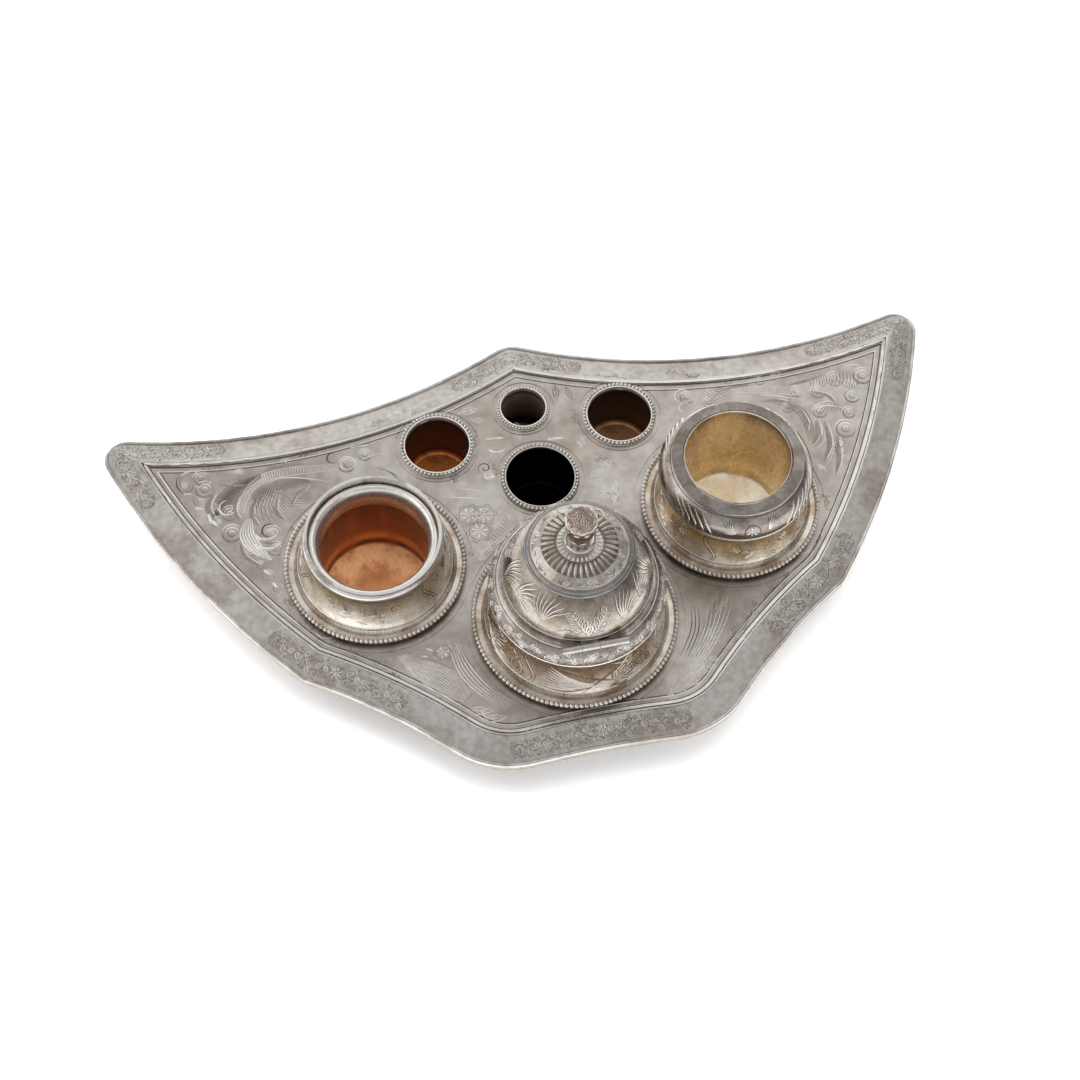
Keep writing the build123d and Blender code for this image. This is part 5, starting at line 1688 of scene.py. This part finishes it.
@dataclass
class LeftPot:
    """The left pot: skirt, collar, rolled flange and copper cup.

    Attributes:
        foot: radius at which the engraving of the skirt starts.
        neck: radius at which it ends.
        mouth: radius of the flat of the flange inside.
        roll: breadth and depth of the flange's turn into the cup.
        sleeve: inner and outer radius of the flange's lower end.
    """
    foot: float = 30.5
    neck: float = 25.6
    mouth: float = 22.6
    roll: Point = (2.7, 6.2)
    sleeve: Point = (19.9, 20.8)

    def build(self) -> None:
        """Makes and dresses the pot and its liner."""
        low, high = span_of("left_skirt")
        # skirt colours by height: lightest low on the wall and dark brown under the collar; the light band is
        # partly painted reflection, and the brown neck partly tarnish and partly painted shade
        skirt = skirt_silver("left_skirt", ((low, (0.84, 0.81, 0.77)), (low + 3, (0.90, 0.875, 0.84)),
                                            (low + 9, (0.93, 0.90, 0.85)), (high - 6, (0.80, 0.73, 0.62)),
                                            (high, (0.44, 0.37, 0.30))), (0.62, 0.50, 0.36), 0.35, 9.0)
        dressed("left_skirt", skirt, Body.LEFT_POT, "silver_skirt")
        rim = Finish("left_rim_silver", ((high, (0.78, 0.76, 0.73)), (high + 4, (0.90, 0.89, 0.88))), 0.2,
                     axis=LEFT)
        dressed("left_collar", rim, Body.LEFT_POT, "silver_rims")
        Pearls("left_bead_ring", Body.LEFT_POT).build()
        # the flange is lightest on the roll at its top and turns darker and browner down its throat into the
        # cup: painted highlight on the roll and painted shade down the throat
        roll = Finish("rolled_flange", ((high - 8, (0.56, 0.45, 0.35)), (high - 6.0, (0.62, 0.54, 0.46)),
                                        (high - 3.0, (0.74, 0.69, 0.635)), (high - 0.6, (0.89, 0.87, 0.84)),
                                        (high + 2, (0.91, 0.90, 0.885))), 0.24,
                      (0.74, 0.68, 0.61), 0.3, 9.0, axis=LEFT, metal=0.88)
        outside = radius_of("left_liner_flange")
        breadth, depth = self.roll
        throat = [(self.mouth - breadth * sin(radians(t)), high - 5.0 + depth * cos(radians(t)))
                  for t in range(10, 91, 8)]
        flange = turned("liner_flange_roll", [(21.2, high), (outside, high), (outside, high + 0.6),
                                              (outside - 0.45, high + 1.1), (self.mouth, high + 1.2), *throat,
                                              *((radius, high - 8.0) for radius in self.sleeve)], LEFT)
        settled(flange, roll, Body.LEFT_LINER, "silver_rims", "left_liner_flange")
        floor, top = span_of("left_liner_cup")
        # copper colours up the cup: the dark ring at the foot of the wall and the darkening to the top under
        # the flange are painted shade, and the bright orange band above the floor is a painted highlight
        copper = Finish("copper_lining",
                        ((floor + 1.0, (0.93, 0.70, 0.50)), (floor + 1.5, (0.92, 0.67, 0.45)),
                         (floor + 2.4, (0.34, 0.17, 0.09)), (floor + 4.5, (0.40, 0.21, 0.10)),
                         (floor + 7.5, (0.86, 0.55, 0.30)), (floor + 12.0, (0.56, 0.31, 0.16)),
                         (top - 6, (0.44, 0.24, 0.12)), (top, (0.27, 0.16, 0.10))), 0.42,
                        (0.66, 0.37, 0.21), 0.45, 8.0, axis=LEFT, turning=0.03, spot=13.0, metal=0.75,
                        flow=4.0, dull_below=floor + 1.8)
        dressed("left_liner_cup", copper, Body.LEFT_LINER, "copper_cup")
        self.chase(skirt_wall("left_skirt", self.foot, self.neck, Body.LEFT_POT))

    @staticmethod
    def chase(wall: WallChasing) -> None:
        """Panels of strokes and curls round the skirt.

        Args:
            wall: the wall and its pens.
        """
        wall.rings((wall.dark, 0.13, 0.35), (wall.bright, 0.16, 0.4))
        for angle, lean in ((38, 4), (118, -4), (-162, 4), (-82, -4)):
            wall.panel_line(angle, lean)
        for middle in (-20, 78, 158, -122):
            for i in range(6):
                x, y = wall.at(middle - 20 + 8 * i, 0.36 + 0.05 * sin(2.2 * i))
                each(wall.bright.scoop, (x, y, -8 + 14 * sin(1.7 * i), 4.2, 0.9),
                     (x + 1.5, y + 1.6, 24, 2.4, 0.6))
            each(wall.fan, (middle - 14, 0.5, 60, 70, 6, 5.5, wall.soft, 0.5),
                 (middle + 12, 0.5, 115, 60, 5, 5.0, wall.soft, 0.45))
            wall.branch(middle + 2, 0.46, 84, 7.0, 5, wall.soft, 0.35, 1.6)
            x, y = wall.at(middle - 27, 0.6)
            wall.dark.curl(x, y, 2.2, 200, 1.2, 1, 0.4)
            x, y = wall.at(middle + 27, 0.6)
            wall.dark.curl(x, y, 2.2, -20, 1.2, -1, 0.4)
        wall.make()


@dataclass
class RightPot:
    """The right pot: skirt, swelling collar, bevelled rim and gilt cup.

    Attributes:
        foot: radius at which the engraving of the skirt starts.
        neck: radius at which it ends.
        bulge: radii of the swelling collar at its foot and its top, and its swell.
        mouth: radius of the rim's inner edge.
    """
    foot: float = 30.5
    neck: float = 26.6
    bulge: tuple[float, float, float] = (27.8, 24.0, 2.6)
    mouth: float = 19.95

    def build(self) -> None:
        """Makes and dresses the pot."""
        low, high = span_of("right_skirt")
        # skirt colours by height: lightest low on the wall and dark brown-gold under the swelling collar; the
        # light band is partly painted reflection, and the brown neck partly tarnish and partly painted shade
        skirt = skirt_silver("right_skirt", ((low, (0.84, 0.81, 0.77)), (low + 3, (0.90, 0.88, 0.84)),
                                             (low + 8, (0.94, 0.87, 0.76)), (high - 6, (0.86, 0.72, 0.53)),
                                             (high, (0.46, 0.37, 0.27))), (0.60, 0.45, 0.28), 0.45, 9.0)
        dressed("right_skirt", skirt, Body.RIGHT_POT, "silver_skirt")
        Pearls("right_bead_ring", Body.RIGHT_POT).build()
        base, top = span_of("right_bulge")
        bulge = Finish("bulge_silver", ((base, (0.64, 0.60, 0.56)), (base + 4, (0.56, 0.51, 0.46)),
                                        (top - 3, (0.64, 0.61, 0.58)), (top, (0.72, 0.70, 0.68))), 0.24,
                       (0.46, 0.39, 0.33), 0.5, 8.0, dents=0.2, axis=RIGHT)
        dressed("right_bulge", bulge, Body.RIGHT_POT, "silver_skirt")
        rim = Finish("right_rim_silver", ((top, (0.54, 0.51, 0.48)), (top + 2, (0.62, 0.60, 0.575))), 0.26,
                     (0.44, 0.39, 0.34), 0.5, 10.0, axis=RIGHT)
        dressed("right_rim", rim, Body.RIGHT_POT, "silver_rims")
        low_rim, high_rim = span_of("right_rim")
        # thin rings at the rim's outer and inner edges, lighter than the rim: painted highlight lines along
        # its edges
        for name, radius, height in (("outer", radius_of("right_rim"), low_rim + 0.75),
                                     ("inner", self.mouth, high_rim - 0.15)):
            outline = ((-0.3, -0.3), (0.1, -0.3), (0.2, 0.0), (0.0, 0.22), (-0.35, 0.2))
            edge = turned(f"right_rim_{name}_edge", [(radius + out, height + up) for out, up in outline],
                          RIGHT)
            settled(edge, SILVER_EDGE, Body.RIGHT_POT, "silver_rims", crease=80.0)
        floor, lip = span_of("right_cup")
        # gilt colours up the cup: the darker ring at the foot of the wall and the dark lip are painted shade,
        # and the lighter band above the floor is a painted highlight
        gilt = Finish("gilt_lining", ((floor + 1.0, (0.99, 0.97, 0.92)), (floor + 1.6, (0.98, 0.95, 0.88)),
                                      (floor + 2.6, (0.66, 0.55, 0.38)), (floor + 8, (0.84, 0.72, 0.52)),
                                      (floor + 15, (0.72, 0.60, 0.42)), (lip - 6, (0.74, 0.63, 0.46)),
                                      (lip, (0.46, 0.38, 0.28))), 0.28,
                      (0.88, 0.77, 0.57), 0.5, 9.0, axis=RIGHT, turning=0.04, dents=0.3, metal=0.75, flow=4.0,
                      dull_below=floor + 1.8)
        dressed("right_cup", gilt, Body.RIGHT_POT, "gilt_cup")
        self.chase_skirt(skirt_wall("right_skirt", self.foot, self.neck, Body.RIGHT_POT))
        wide, narrow, swell = self.bulge
        self.chase_bulge(WallChasing("right_bulge", RIGHT, (wide, base), (narrow, top), swell,
                                     Body.RIGHT_POT))

    @staticmethod
    def chase_skirt(wall: WallChasing) -> None:
        """Curls, small flowers and strokes round the skirt.

        Args:
            wall: the wall and its pens.
        """
        wall.rings((wall.dark, 0.13, 0.35), (wall.bright, 0.16, 0.4))
        for angle, lean in ((-34, 5), (52, -5), (140, 5), (-124, -5)):
            wall.panel_line(angle, lean)
        for middle in (8, 96, -170, -80):
            for i, (shift, up) in enumerate(((-12, 0.3), (-5, 0.26), (2, 0.24), (9, 0.3))):
                x, y = wall.at(middle + shift, up)
                wall.bright.scoop(x, y, 30 - 22 * i, 3.6, 1.2)
                wall.bright.arc(x, y + 1.8, 1.5, 20 * i, 150, 0.4)
            for shift in (-20, 22):
                x, y = wall.at(middle + shift, 0.52)
                wall.bright.rosette(x, y, 2.0, 6, 0.6)
                wall.dark.curl(x, y, 2.8, 90, 1.1, 1 if shift < 0 else -1, 0.4)
            wall.branch(middle + 4, 0.48, 20, 10.0, 6, wall.soft, 0.4, 1.7)
            wall.fan(middle - 6, 0.55, 150, 50, 5, 5.0, wall.soft, 0.45)
        wall.make()

    @staticmethod
    def chase_bulge(wall: WallChasing) -> None:
        """Long bright-cut leaves, a round flower at the front and a double line at the foot.

        Args:
            wall: the wall and its pens.
        """
        wall.rings((wall.bright, 0.08, 0.5), (wall.dark, 0.13, 0.4), (wall.bright, 0.17, 0.3),
                   (wall.dark, 0.93, 0.4))
        x, y = wall.at(-2, 0.5)
        wall.dark.arc(x, y, 2.9, 0, 360, 0.5, 0.9)
        wall.bright.rosette(x, y, 2.6, 7, 0.7)
        for middle, hand in ((-48, -1), (42, 1), (132, -1), (-138, 1)):
            for i in range(5):
                share = i / 4
                each(wall.run,
                     (wall.bright,
                      [(middle + hand * (26 * share - 16), 0.26), (middle + hand * (22 * share - 12), 0.5),
                       (middle + hand * (30 * share - 4), 0.84)], 1.0 - 0.12 * i),
                     (wall.dark,
                      [(middle + hand * (26 * share - 13), 0.28), (middle + hand * (22 * share - 9.5), 0.5),
                       (middle + hand * (30 * share - 1), 0.8)], 0.5))
            wall.branch(middle - 6, 0.34, 40 if hand > 0 else 140, 9.0, 6, wall.soft, 0.45, 2.0)
        for side in (-1, 1):
            each(wall.fan, (-2 + side * 12, 0.45, 90 - side * 55, 60, 6, 5.0, wall.bright, 0.5),
                 (-2 + side * 16, 0.6, 90 - side * 20, 80, 5, 4.0, wall.dark, 0.4))
        wall.make()


@dataclass
class CentrePot:
    """The middle pot: skirt, shoulder, ink glass, hinge and lid.

    Attributes:
        foot: radius at which the engraving of the skirt starts.
        neck: radius at which it ends.
        shoulder: radii of the shoulder at its foot and its top, and its swell.
        shoulder_height: height of its engraved part.
        dome: radii of the dome's engraved part at its foot and its top, and its swell.
        cap: the same, of the cap.
    """
    foot: float = 34.8
    neck: float = 30.4
    shoulder: tuple[float, float, float] = (31.8, 27.7, 2.0)
    shoulder_height: float = 8.6
    dome: tuple[float, float, float] = (27.0, 16.6, 3.0)
    cap: tuple[float, float, float] = (18.6, 5.0, 1.0)

    def build(self) -> None:
        """Makes and dresses the pot, its hinge and its lid."""
        low, high = span_of("centre_skirt")
        # skirt colours by height: lightest low on the wall and dark brown under the shoulder; the light band
        # is partly painted reflection, and the brown neck partly tarnish and partly painted shade
        skirt = skirt_silver("centre_skirt", ((low, (0.84, 0.81, 0.77)), (low + 3, (0.90, 0.87, 0.83)),
                                              (low + 11, (0.79, 0.71, 0.635)), (high - 7, (0.60, 0.51, 0.42)),
                                              (high, (0.44, 0.37, 0.31))), (0.62, 0.49, 0.35), 0.35, 10.0)
        dressed("centre_skirt", skirt, Body.CENTRE_POT, "silver_skirt")
        Pearls("centre_bead_ring", Body.CENTRE_POT).build()
        shoulder = Finish("shoulder_silver", ((high, (0.60, 0.565, 0.53)), (high + 8, (0.70, 0.67, 0.64))),
                          0.27, (0.44, 0.39, 0.34), 0.45, 8.0, dents=0.15, axis=CENTRE)
        dressed("centre_shoulder", shoulder, Body.CENTRE_POT, "silver_skirt")
        self.glass()
        for node, body in (("hinge_pot_leaf", Body.CENTRE_POT), ("hinge_lid_leaf", Body.LID)):
            dressed(node, Finish("hinge_silver", ((60.0, (0.78, 0.76, 0.73)),), 0.26), body, "silver_rims")
        dressed("hinge_pin", STEEL, Body.CENTRE_POT, "steel_fixings")
        dressed("finial_nut", NUT, Body.LID, "steel_fixings")
        base, crown = span_of("lid_dome")
        # the dome darkens from its lower part up to its crown: painted shade under the cap's rim
        dome = Finish("dome_silver", ((base, (0.66, 0.62, 0.58)), (base + 6, (0.72, 0.69, 0.65)),
                                       (crown, (0.60, 0.56, 0.52))), 0.26,
                      (0.50, 0.44, 0.38), 0.45, 10.0, dents=0.35, axis=CENTRE)
        dressed("lid_dome", dome, Body.LID, "silver_lid")
        dressed("lid_bezel", dome, Body.LID, "silver_rims")
        foot, top = span_of("lid_cap")
        cap = Finish("cap_silver", ((foot, (0.78, 0.76, 0.73)), (top, (0.80, 0.77, 0.74))), 0.33,
                     (0.62, 0.56, 0.50), 0.45, 8.0, dents=0.2, axis=CENTRE)
        dressed("lid_cap_rim", Finish("cap_rim_silver", ((foot, (0.54, 0.55, 0.56)),), 0.24, axis=CENTRE),
                Body.LID, "silver_rims")
        dressed("lid_cap", cap, Body.LID, "silver_lid")
        self.finial()
        self.chase_skirt(skirt_wall("centre_skirt", self.foot, self.neck, Body.CENTRE_POT))
        walls = ((self.chase_shoulder, "shoulder", self.shoulder, high, high + self.shoulder_height,
                  Body.CENTRE_POT),
                 (self.chase_dome, "dome", self.dome, base + 0.7, crown, Body.LID),
                 (self.chase_cap, "cap", self.cap, foot, top, Body.LID))
        for chase, name, (wide, narrow, swell), lower, upper, body in walls:
            chase(WallChasing(name, CENTRE, (wide, lower), (narrow, upper), swell, body))

    @staticmethod
    def glass() -> None:
        """Dresses the ink glass in clear, faintly green glass with ink stains."""
        piece = dressed("centre_ink_glass", FEET, Body.CENTRE_POT, "ink_glass")
        bench = Bench("ink_glass_clear")
        stain = bench.stretch_range(bench.noise(bench.place(CENTRE), 9.0, detail=4.0), 0.5, 0.72)
        bench.feed(bench.shader.inputs["Base Color"], bench.mix(stain, (0.86, 0.92, 0.89), (0.10, 0.11, 0.2)))
        bench.shader.inputs["Transmission Weight"].default_value = 0.9
        bench.shader.inputs["IOR"].default_value = 1.5
        bench.feed(bench.shader.inputs["Roughness"], bench.math("MULTIPLY", stain, 0.35))
        piece.data.materials.clear()
        piece.data.materials.append(bench.material)

    @staticmethod
    def finial() -> None:
        """Petalled ring, collar, and the knob with its pebbled top and petalled edge."""
        low, high = span_of("fluted_ring")
        bend = high - 1.1
        tongues = Petals("cap_tongues", (8.7, bend + 0.3), (13.8, low + 0.3), 36, 1.45, 1.0).ring()
        tongue = Finish("tongue_silver", ((80.0, (0.78, 0.75, 0.71)),), 0.3, (0.56, 0.50, 0.44), 0.5, 7.0,
                        axis=CENTRE)
        settled(tongues, tongue, Body.LID, "silver_lid", "fluted_ring", crease=60.0)
        seat = turned("cap_tongue_seat",
                      [(8.4, bend), (11.1, (bend + low) / 2 + 0.1), (13.7, low), (13.6, low + 0.3),
                       (11.1, (bend + low) / 2 + 0.5), (8.4, bend + 0.35)], CENTRE, 96)
        # the seat under the tongues is much darker than the cap: painted shade in the gaps between the
        # tongues
        hollow = Finish("tongue_gaps_shade", ((80.0, (0.50, 0.465, 0.43)),), 0.4, (0.36, 0.32, 0.28), 0.5, 5.0)
        settled(seat, hollow, Body.LID, "silver_lid", "fluted_ring")
        small = Petals("cap_petals", (6.2, high - 0.6), (8.3, high - 0.95), 30, 0.85, 0.55).ring()
        settled(small, GLINT_CUT, Body.LID, "silver_lid", crease=60.0)
        dressed("finial_collar", SILVER_EDGE, Body.LID, "silver_rims", crease=50.0)
        foot, crown = span_of("finial_collar")[1], span_of("finial_knob")[1]
        body = turned("knob_body",
                      [(0.0, foot - 1.2), (3.4, foot - 0.1), *bow((3.6, foot), (4.2, foot + 4.4), -0.7, 6),
                       *bow((4.9, foot + 6.0), (5.2, crown - 1.6), 0.4, 6), (5.0, crown - 0.5),
                       (3.0, crown - 0.2), (0.0, crown - 0.1)], CENTRE, 64)
        brown = Finish("knob_silver",
                       ((foot, (0.72, 0.68, 0.62)), (foot + 3, (0.52, 0.44, 0.37)),
                        (foot + 8, (0.42, 0.37, 0.33)), (crown - 1.5, (0.52, 0.45, 0.41))), 0.32,
                       (0.42, 0.34, 0.28), 0.4, 4.0, axis=CENTRE)
        settled(body, brown, Body.LID, "silver_lid", "finial_knob")
        knob_edge = Finish("knob_edge_silver", ((80.0, (0.86, 0.82, 0.79)),), 0.28, (0.54, 0.46, 0.41), 0.6,
                           3.0)
        rings = (Petals("knob_petals_top", (4.3, crown - 0.25), (5.9, crown - 2.2), 11, 3.4, 0.9),
                 Petals("knob_petals_middle", (4.6, crown - 2.6), (5.3, crown - 5.4), 9, 2.8, 1.1),
                 Petals("knob_petals_low", (3.4, foot + 1.2), (4.6, foot + 4.6), 8, 2.3, 1.0))
        for petals, finish in zip(rings, (knob_edge, tongue, tongue)):
            settled(petals.ring(), finish, Body.LID, "silver_lid", crease=60.0)
        pebbles = Grains("knob_pebbles", Plate(body),
                         Finish("pebbled_silver", ((80.0, (0.80, 0.74, 0.71)),), 0.34, (0.62, 0.55, 0.46),
                                0.5, 2.5), Body.LID, "silver_lid")
        pebbles.disc(CENTRE, 5.0, 120, 0.5, seed=3)
        pebbles.make()

    @staticmethod
    def chase_skirt(wall: WallChasing) -> None:
        """Crossing branches, feathers and panel lines round the skirt.

        Args:
            wall: the wall and its pens.
        """
        wall.rings((wall.dark, 0.11, 0.35), (wall.bright, 0.14, 0.4))
        for angle, lean in ((-46, 4), (-56, 5), (54, -4), (128, 5), (-128, -5), (-178, 4)):
            wall.panel_line(angle, lean)
        for middle in (4, 92, -92, 154, -154):
            each(wall.fan, (middle - 5, 0.3, 168, 36, 8, 17.0, wall.bright, 0.75, 0.05),
                 (middle - 5, 0.26, 172, 30, 5, 15.0, wall.brown, 0.6, 0.05),
                 (middle - 4, 0.34, 118, 60, 6, 9.0, wall.brown, 0.8),
                 (middle, 0.3, 16, 50, 7, 15.0, wall.bright, 0.7, -0.06))
            each(wall.branch, (middle + 6, 0.16, 38, 17.0, 8, wall.brown, 0.9, 2.6),
                 (middle + 10, 0.5, -10, 15.0, 7, wall.brown, 0.8, 2.4))
            each(wall.run, (wall.bright, [(middle - 34, 0.2), (middle - 14, 0.26), (middle + 2, 0.3)], 0.8),
                 (wall.brown, [(middle - 30, 0.74), (middle - 12, 0.6), (middle, 0.36)], 1.0),
                 (wall.dark, [(middle - 22, 0.62), (middle - 4, 0.44), (middle + 20, 0.18)], 1.0),
                 (wall.dark, [(middle + 24, 0.7), (middle + 6, 0.48), (middle - 12, 0.16)], 0.9),
                 (wall.bright, [(middle + 2, 0.3), (middle + 14, 0.2), (middle + 26, 0.14)], 0.7),
                 (wall.bright, [(middle + 8, 0.74), (middle + 20, 0.6), (middle + 36, 0.56)], 0.6))
        wall.make()

    @staticmethod
    def chase_shoulder(wall: WallChasing) -> None:
        """A band of leaves on a punched ground between bright lines.

        Args:
            wall: the wall and its pens.
        """
        wall.rings((wall.bright, 0.05, 0.9), (wall.dark, 0.14, 0.5), (wall.bright, 0.88, 0.4),
                   (wall.dark, 0.82, 0.3))
        grains = Grains("shoulder_ground", wall.wall, GROUND, wall.body, "silver_skirt")
        grains.along([wall.at(angle, 0.47) for angle in range(-180, 181, 12)], 5.6, 0.72, 0.3, seed=11)
        grains.make()
        for i in range(90):
            angle = -180 + 4 * i
            x, y = wall.at(angle, 0.47 + 0.14 * sin(1.3 * i))
            wall.bright.leaf(x, y, 60 * sin(2.1 * i) + (180 if i % 3 == 0 else 0), 2.7, 1.4, 0.42)
            wall.dark.scoop(x + 0.8, y - 0.9, 40 * i, 1.7, 0.5)
            if i % 6 == 2:
                wall.bright.rosette(x, y, 1.8, 6, 0.6)
            if i % 4 == 1:
                wall.bright.curl(x, y, 1.6, 30 * i, 1.1, 1 if i % 2 else -1, 0.4)
        wall.make()

    @staticmethod
    def chase_dome(wall: WallChasing) -> None:
        """Fans and leaf sprays over a double line at the dome's edge.

        Args:
            wall: the wall and its pens.
        """
        wall.rings((wall.dark, 0.055, 0.4), (wall.bright, 0.085, 0.35), (wall.dark, 0.12, 0.3))
        for middle in (0, 120, -120):
            for pen, shift, width in ((wall.dark, 0.0, 0.36), (wall.bright, 1.2, 0.36)):
                each(wall.branch, (middle - 6 + shift, 0.2, 122, 11.0, 8, pen, width, 2.0),
                     (middle - 3 + shift, 0.18, 58, 11.0, 8, pen, width, 2.0))
                each(wall.fan, (middle + 24 + shift, 0.28, 52, 74, 8, 11.0, pen, width, 0.12),
                     (middle - 44 + shift, 0.36, 82, 96, 8, 10.0, pen, width, 0.1))
            wall.branch(middle + 1, 0.22, 90, 9.0, 6, wall.soft, 0.4, 2.0)
            each(wall.fan, (middle + 44, 0.42, 24, 80, 8, 9.0, wall.dark, 0.4),
                 (middle + 46, 0.4, 30, 70, 6, 10.0, wall.bright, 0.45))
            wall.branch(middle - 24, 0.16, 40, 9.0, 6, wall.soft, 0.45, 2.0)
            wall.run(wall.soft, [(middle - 34, 0.2), (middle - 20, 0.32), (middle - 10, 0.2)], 0.5)
        wall.make()

    @staticmethod
    def chase_cap(wall: WallChasing) -> None:
        """Small leaf sprays between the cap's edge and the petals.

        Args:
            wall: the wall and its pens.
        """
        for i in range(30):
            angle = -180 + 12 * i + 3 * sin(2.3 * i)
            x, y = wall.at(angle, 0.17 + 0.05 * sin(1.9 * i))
            wall.bright.leaf(x, y, 40 + 70 * sin(1.3 * i), 2.8, 1.2, 0.32)
            wall.soft.scoop(x + 0.6, y + 0.5, 120 - 20 * i, 2.0, 0.5)
            if i % 3 == 0:
                wall.dark.fan(x, y, 90, 80, 4, 2.2, 0.3)
        wall.rings((wall.soft, 0.06, 1.5), (wall.bright, 0.12, 0.3))
        wall.make()


# ---- studio
@dataclass(frozen=True)
class Viewpoint:
    """Where the photograph was taken from."""
    place: Place = (-102.79, -399.92, 749.35)
    elevation: float = 60.346
    azimuth: float = -13.660
    roll: float = 1.919
    image: float = 1080.0          # width of the photograph in pixels
    focal: float = 2200.0          # focal length in its pixels
    sensor: float = 36.0

    def build(self) -> None:
        """Makes the camera."""
        camera = bpy.data.cameras.new("camera")
        camera.sensor_width = self.sensor
        camera.lens = self.focal / self.image * self.sensor
        camera.clip_start, camera.clip_end = 0.05, 20.0
        piece = bpy.data.objects.new("camera", camera)
        bpy.context.scene.collection.objects.link(piece)
        el, az, roll = radians(self.elevation), radians(self.azimuth), radians(self.roll)
        back = Vector((sin(az) * cos(el), -cos(az) * cos(el), sin(el)))
        right = Vector((0.0, 0.0, 1.0)).cross(back).normalized()
        up = back.cross(right)
        turned_right = right * cos(roll) + up * sin(roll)
        turned_up = -right * sin(roll) + up * cos(roll)
        turn = Matrix((turned_right, turned_up, back)).transposed()
        piece.matrix_world = Matrix.Translation(Vector(self.place) * MM) @ turn.to_4x4()
        bpy.context.scene.camera = piece


@dataclass(frozen=True)
class Studio:
    """Pale floor, white surroundings and soft lamps."""
    ambient: float = 0.62          # light from all round
    # what the metal mirrors: direction, cosines of the patch's outer and inner edge, brightness
    patches: tuple[tuple[Place, float, float, float], ...] = (
        ((-0.12, -0.60, 0.79), 0.78, 0.97, 0.46),
        ((-0.32, 0.42, 0.85), 0.955, 0.99, 0.5),
        ((-0.80, 0.16, 0.58), 0.86, 0.96, 1.5),
        ((0.36, 0.50, 0.79), 0.955, 0.992, 1.2),
        ((0.10, 0.98, 0.17), 0.80, 0.97, 1.15))
    floor: Colour = (0.93, 0.93, 0.93)
    floor_size: float = 6.0        # metres
    floor_glow: float = 0.22       # how much brighter the floor looks than it is lit
    # name, place, size in metres and power of each lamp
    lamps: tuple[tuple[str, Place, float, float], ...] = (
        ("key", (-620, 420, 900), 0.9, 9.0), ("fill", (700, -300, 800), 1.0, 4.0),
        ("top", (40, -60, 1000), 0.45, 5.0))
    target: Place = (0, 0, 30)     # what the lamps face

    def build(self) -> None:
        """Makes the floor, the world and the lamps."""
        bpy.ops.object.select_all(action="DESELECT")
        bpy.ops.mesh.primitive_plane_add(size=self.floor_size, location=(0.0, 0.0, 0.0))
        floor = bpy.context.object
        floor.name = "floor"
        floor.data.materials.append(self.floor_material())
        self.world()
        for lamp in self.lamps:
            self.lamp(*lamp)

    def floor_material(self) -> bpy.types.Material:
        """A pale matt floor that the camera and the metal see nearly white.

        Returns:
            The material.
        """
        bench = Bench("floor_paper")
        bench.feed(bench.shader.inputs["Base Color"], self.floor)
        bench.shader.inputs["Roughness"].default_value = 0.9
        bench.shader.inputs["Specular IOR Level"].default_value = 0.1
        seen = bench.math("MAXIMUM", bench.add("ShaderNodeLightPath").outputs["Is Camera Ray"], bench.seen())
        bench.feed(bench.shader.inputs["Emission Color"], (1.0, 1.0, 1.0))
        bench.feed(bench.shader.inputs["Emission Strength"], bench.math("MULTIPLY", seen, self.floor_glow))
        return bench.material

    def world(self) -> None:
        """White for the camera, even light on the object, and a sky with patches that the metal mirrors."""
        world = bpy.data.worlds.new("studio")
        bpy.context.scene.world = world
        world.use_nodes = True
        bench = Nodes(world.node_tree)
        output = bench.add("ShaderNodeOutputWorld")
        background = bench.add("ShaderNodeBackground")
        bench.feed(output.inputs[0], background.outputs[0])
        path = bench.add("ShaderNodeLightPath")
        way = bench.add("ShaderNodeTexCoord")
        across, _, up = bench.apart(way.outputs["Generated"])
        sky = bench.ramp(bench.math("MAXIMUM", up, 0.0),
                         [(0.0, (0.86, 0.86, 0.86)), (0.35, (0.86, 0.86, 0.86)), (0.8, (0.80, 0.80, 0.80)),
                          (1.0, (0.66, 0.66, 0.67))])
        dim = bench.math("MULTIPLY", bench.stretch_range(across, 0.35, 0.95), 0.85)
        sky = bench.mix(dim, sky, (0.18, 0.175, 0.17))
        for direction, wide, narrow, light in self.patches:
            share = bench.stretch_range(self.towards(bench, way.outputs["Generated"], direction), wide,
                                        narrow)
            sky = bench.mix(share, sky, (light,) * 3)
        lit = bench.mix(bench.seen(), (self.ambient,) * 3, sky)
        bench.feed(background.inputs["Color"], bench.mix(path.outputs["Is Camera Ray"], lit, (1.0, 1.0, 1.0)))
        background.inputs["Strength"].default_value = 1.0

    @staticmethod
    def towards(bench: Nodes, way: Socket, direction: Place) -> Socket:
        """Cosine of the angle between a ray's way and a direction."""
        aim = tuple(Vector(direction).normalized())
        return bench.add("ShaderNodeVectorMath", way, aim, operation="DOT_PRODUCT").outputs["Value"]

    def lamp(self, name: str, place: Place, size: float, power: float) -> None:
        """A square soft lamp that faces a place, which the metal doesn't mirror.

        Args:
            name: its name.
            place: where it hangs, in millimetres.
            size: its size in metres.
            power: its power in watts.
        """
        light = bpy.data.lights.new(name, "AREA")
        light.shape = "SQUARE"
        light.size = size
        light.energy = power
        piece = bpy.data.objects.new(name, light)
        bpy.context.scene.collection.objects.link(piece)
        piece.visible_glossy = False
        piece.location = Vector(place) * MM
        piece.rotation_mode = "QUATERNION"
        aim = Vector(self.target) * MM - piece.location
        piece.rotation_quaternion = aim.to_track_quat("-Z", "Y")


def main() -> None:
    """Builds the sub-assemblies in order."""
    logging.basicConfig(level=logging.INFO, format="%(name)s: %(message)s")
    Viewpoint().build()
    Studio().build()
    for assembly in (Tray(), PanelChasing(), LeftPot(), RightPot(), CentrePot()):
        assembly.build()
    bpy.context.scene.view_settings.view_transform = "Standard"
    bpy.context.view_layer.update()


if __name__ == "__main__":
    main()
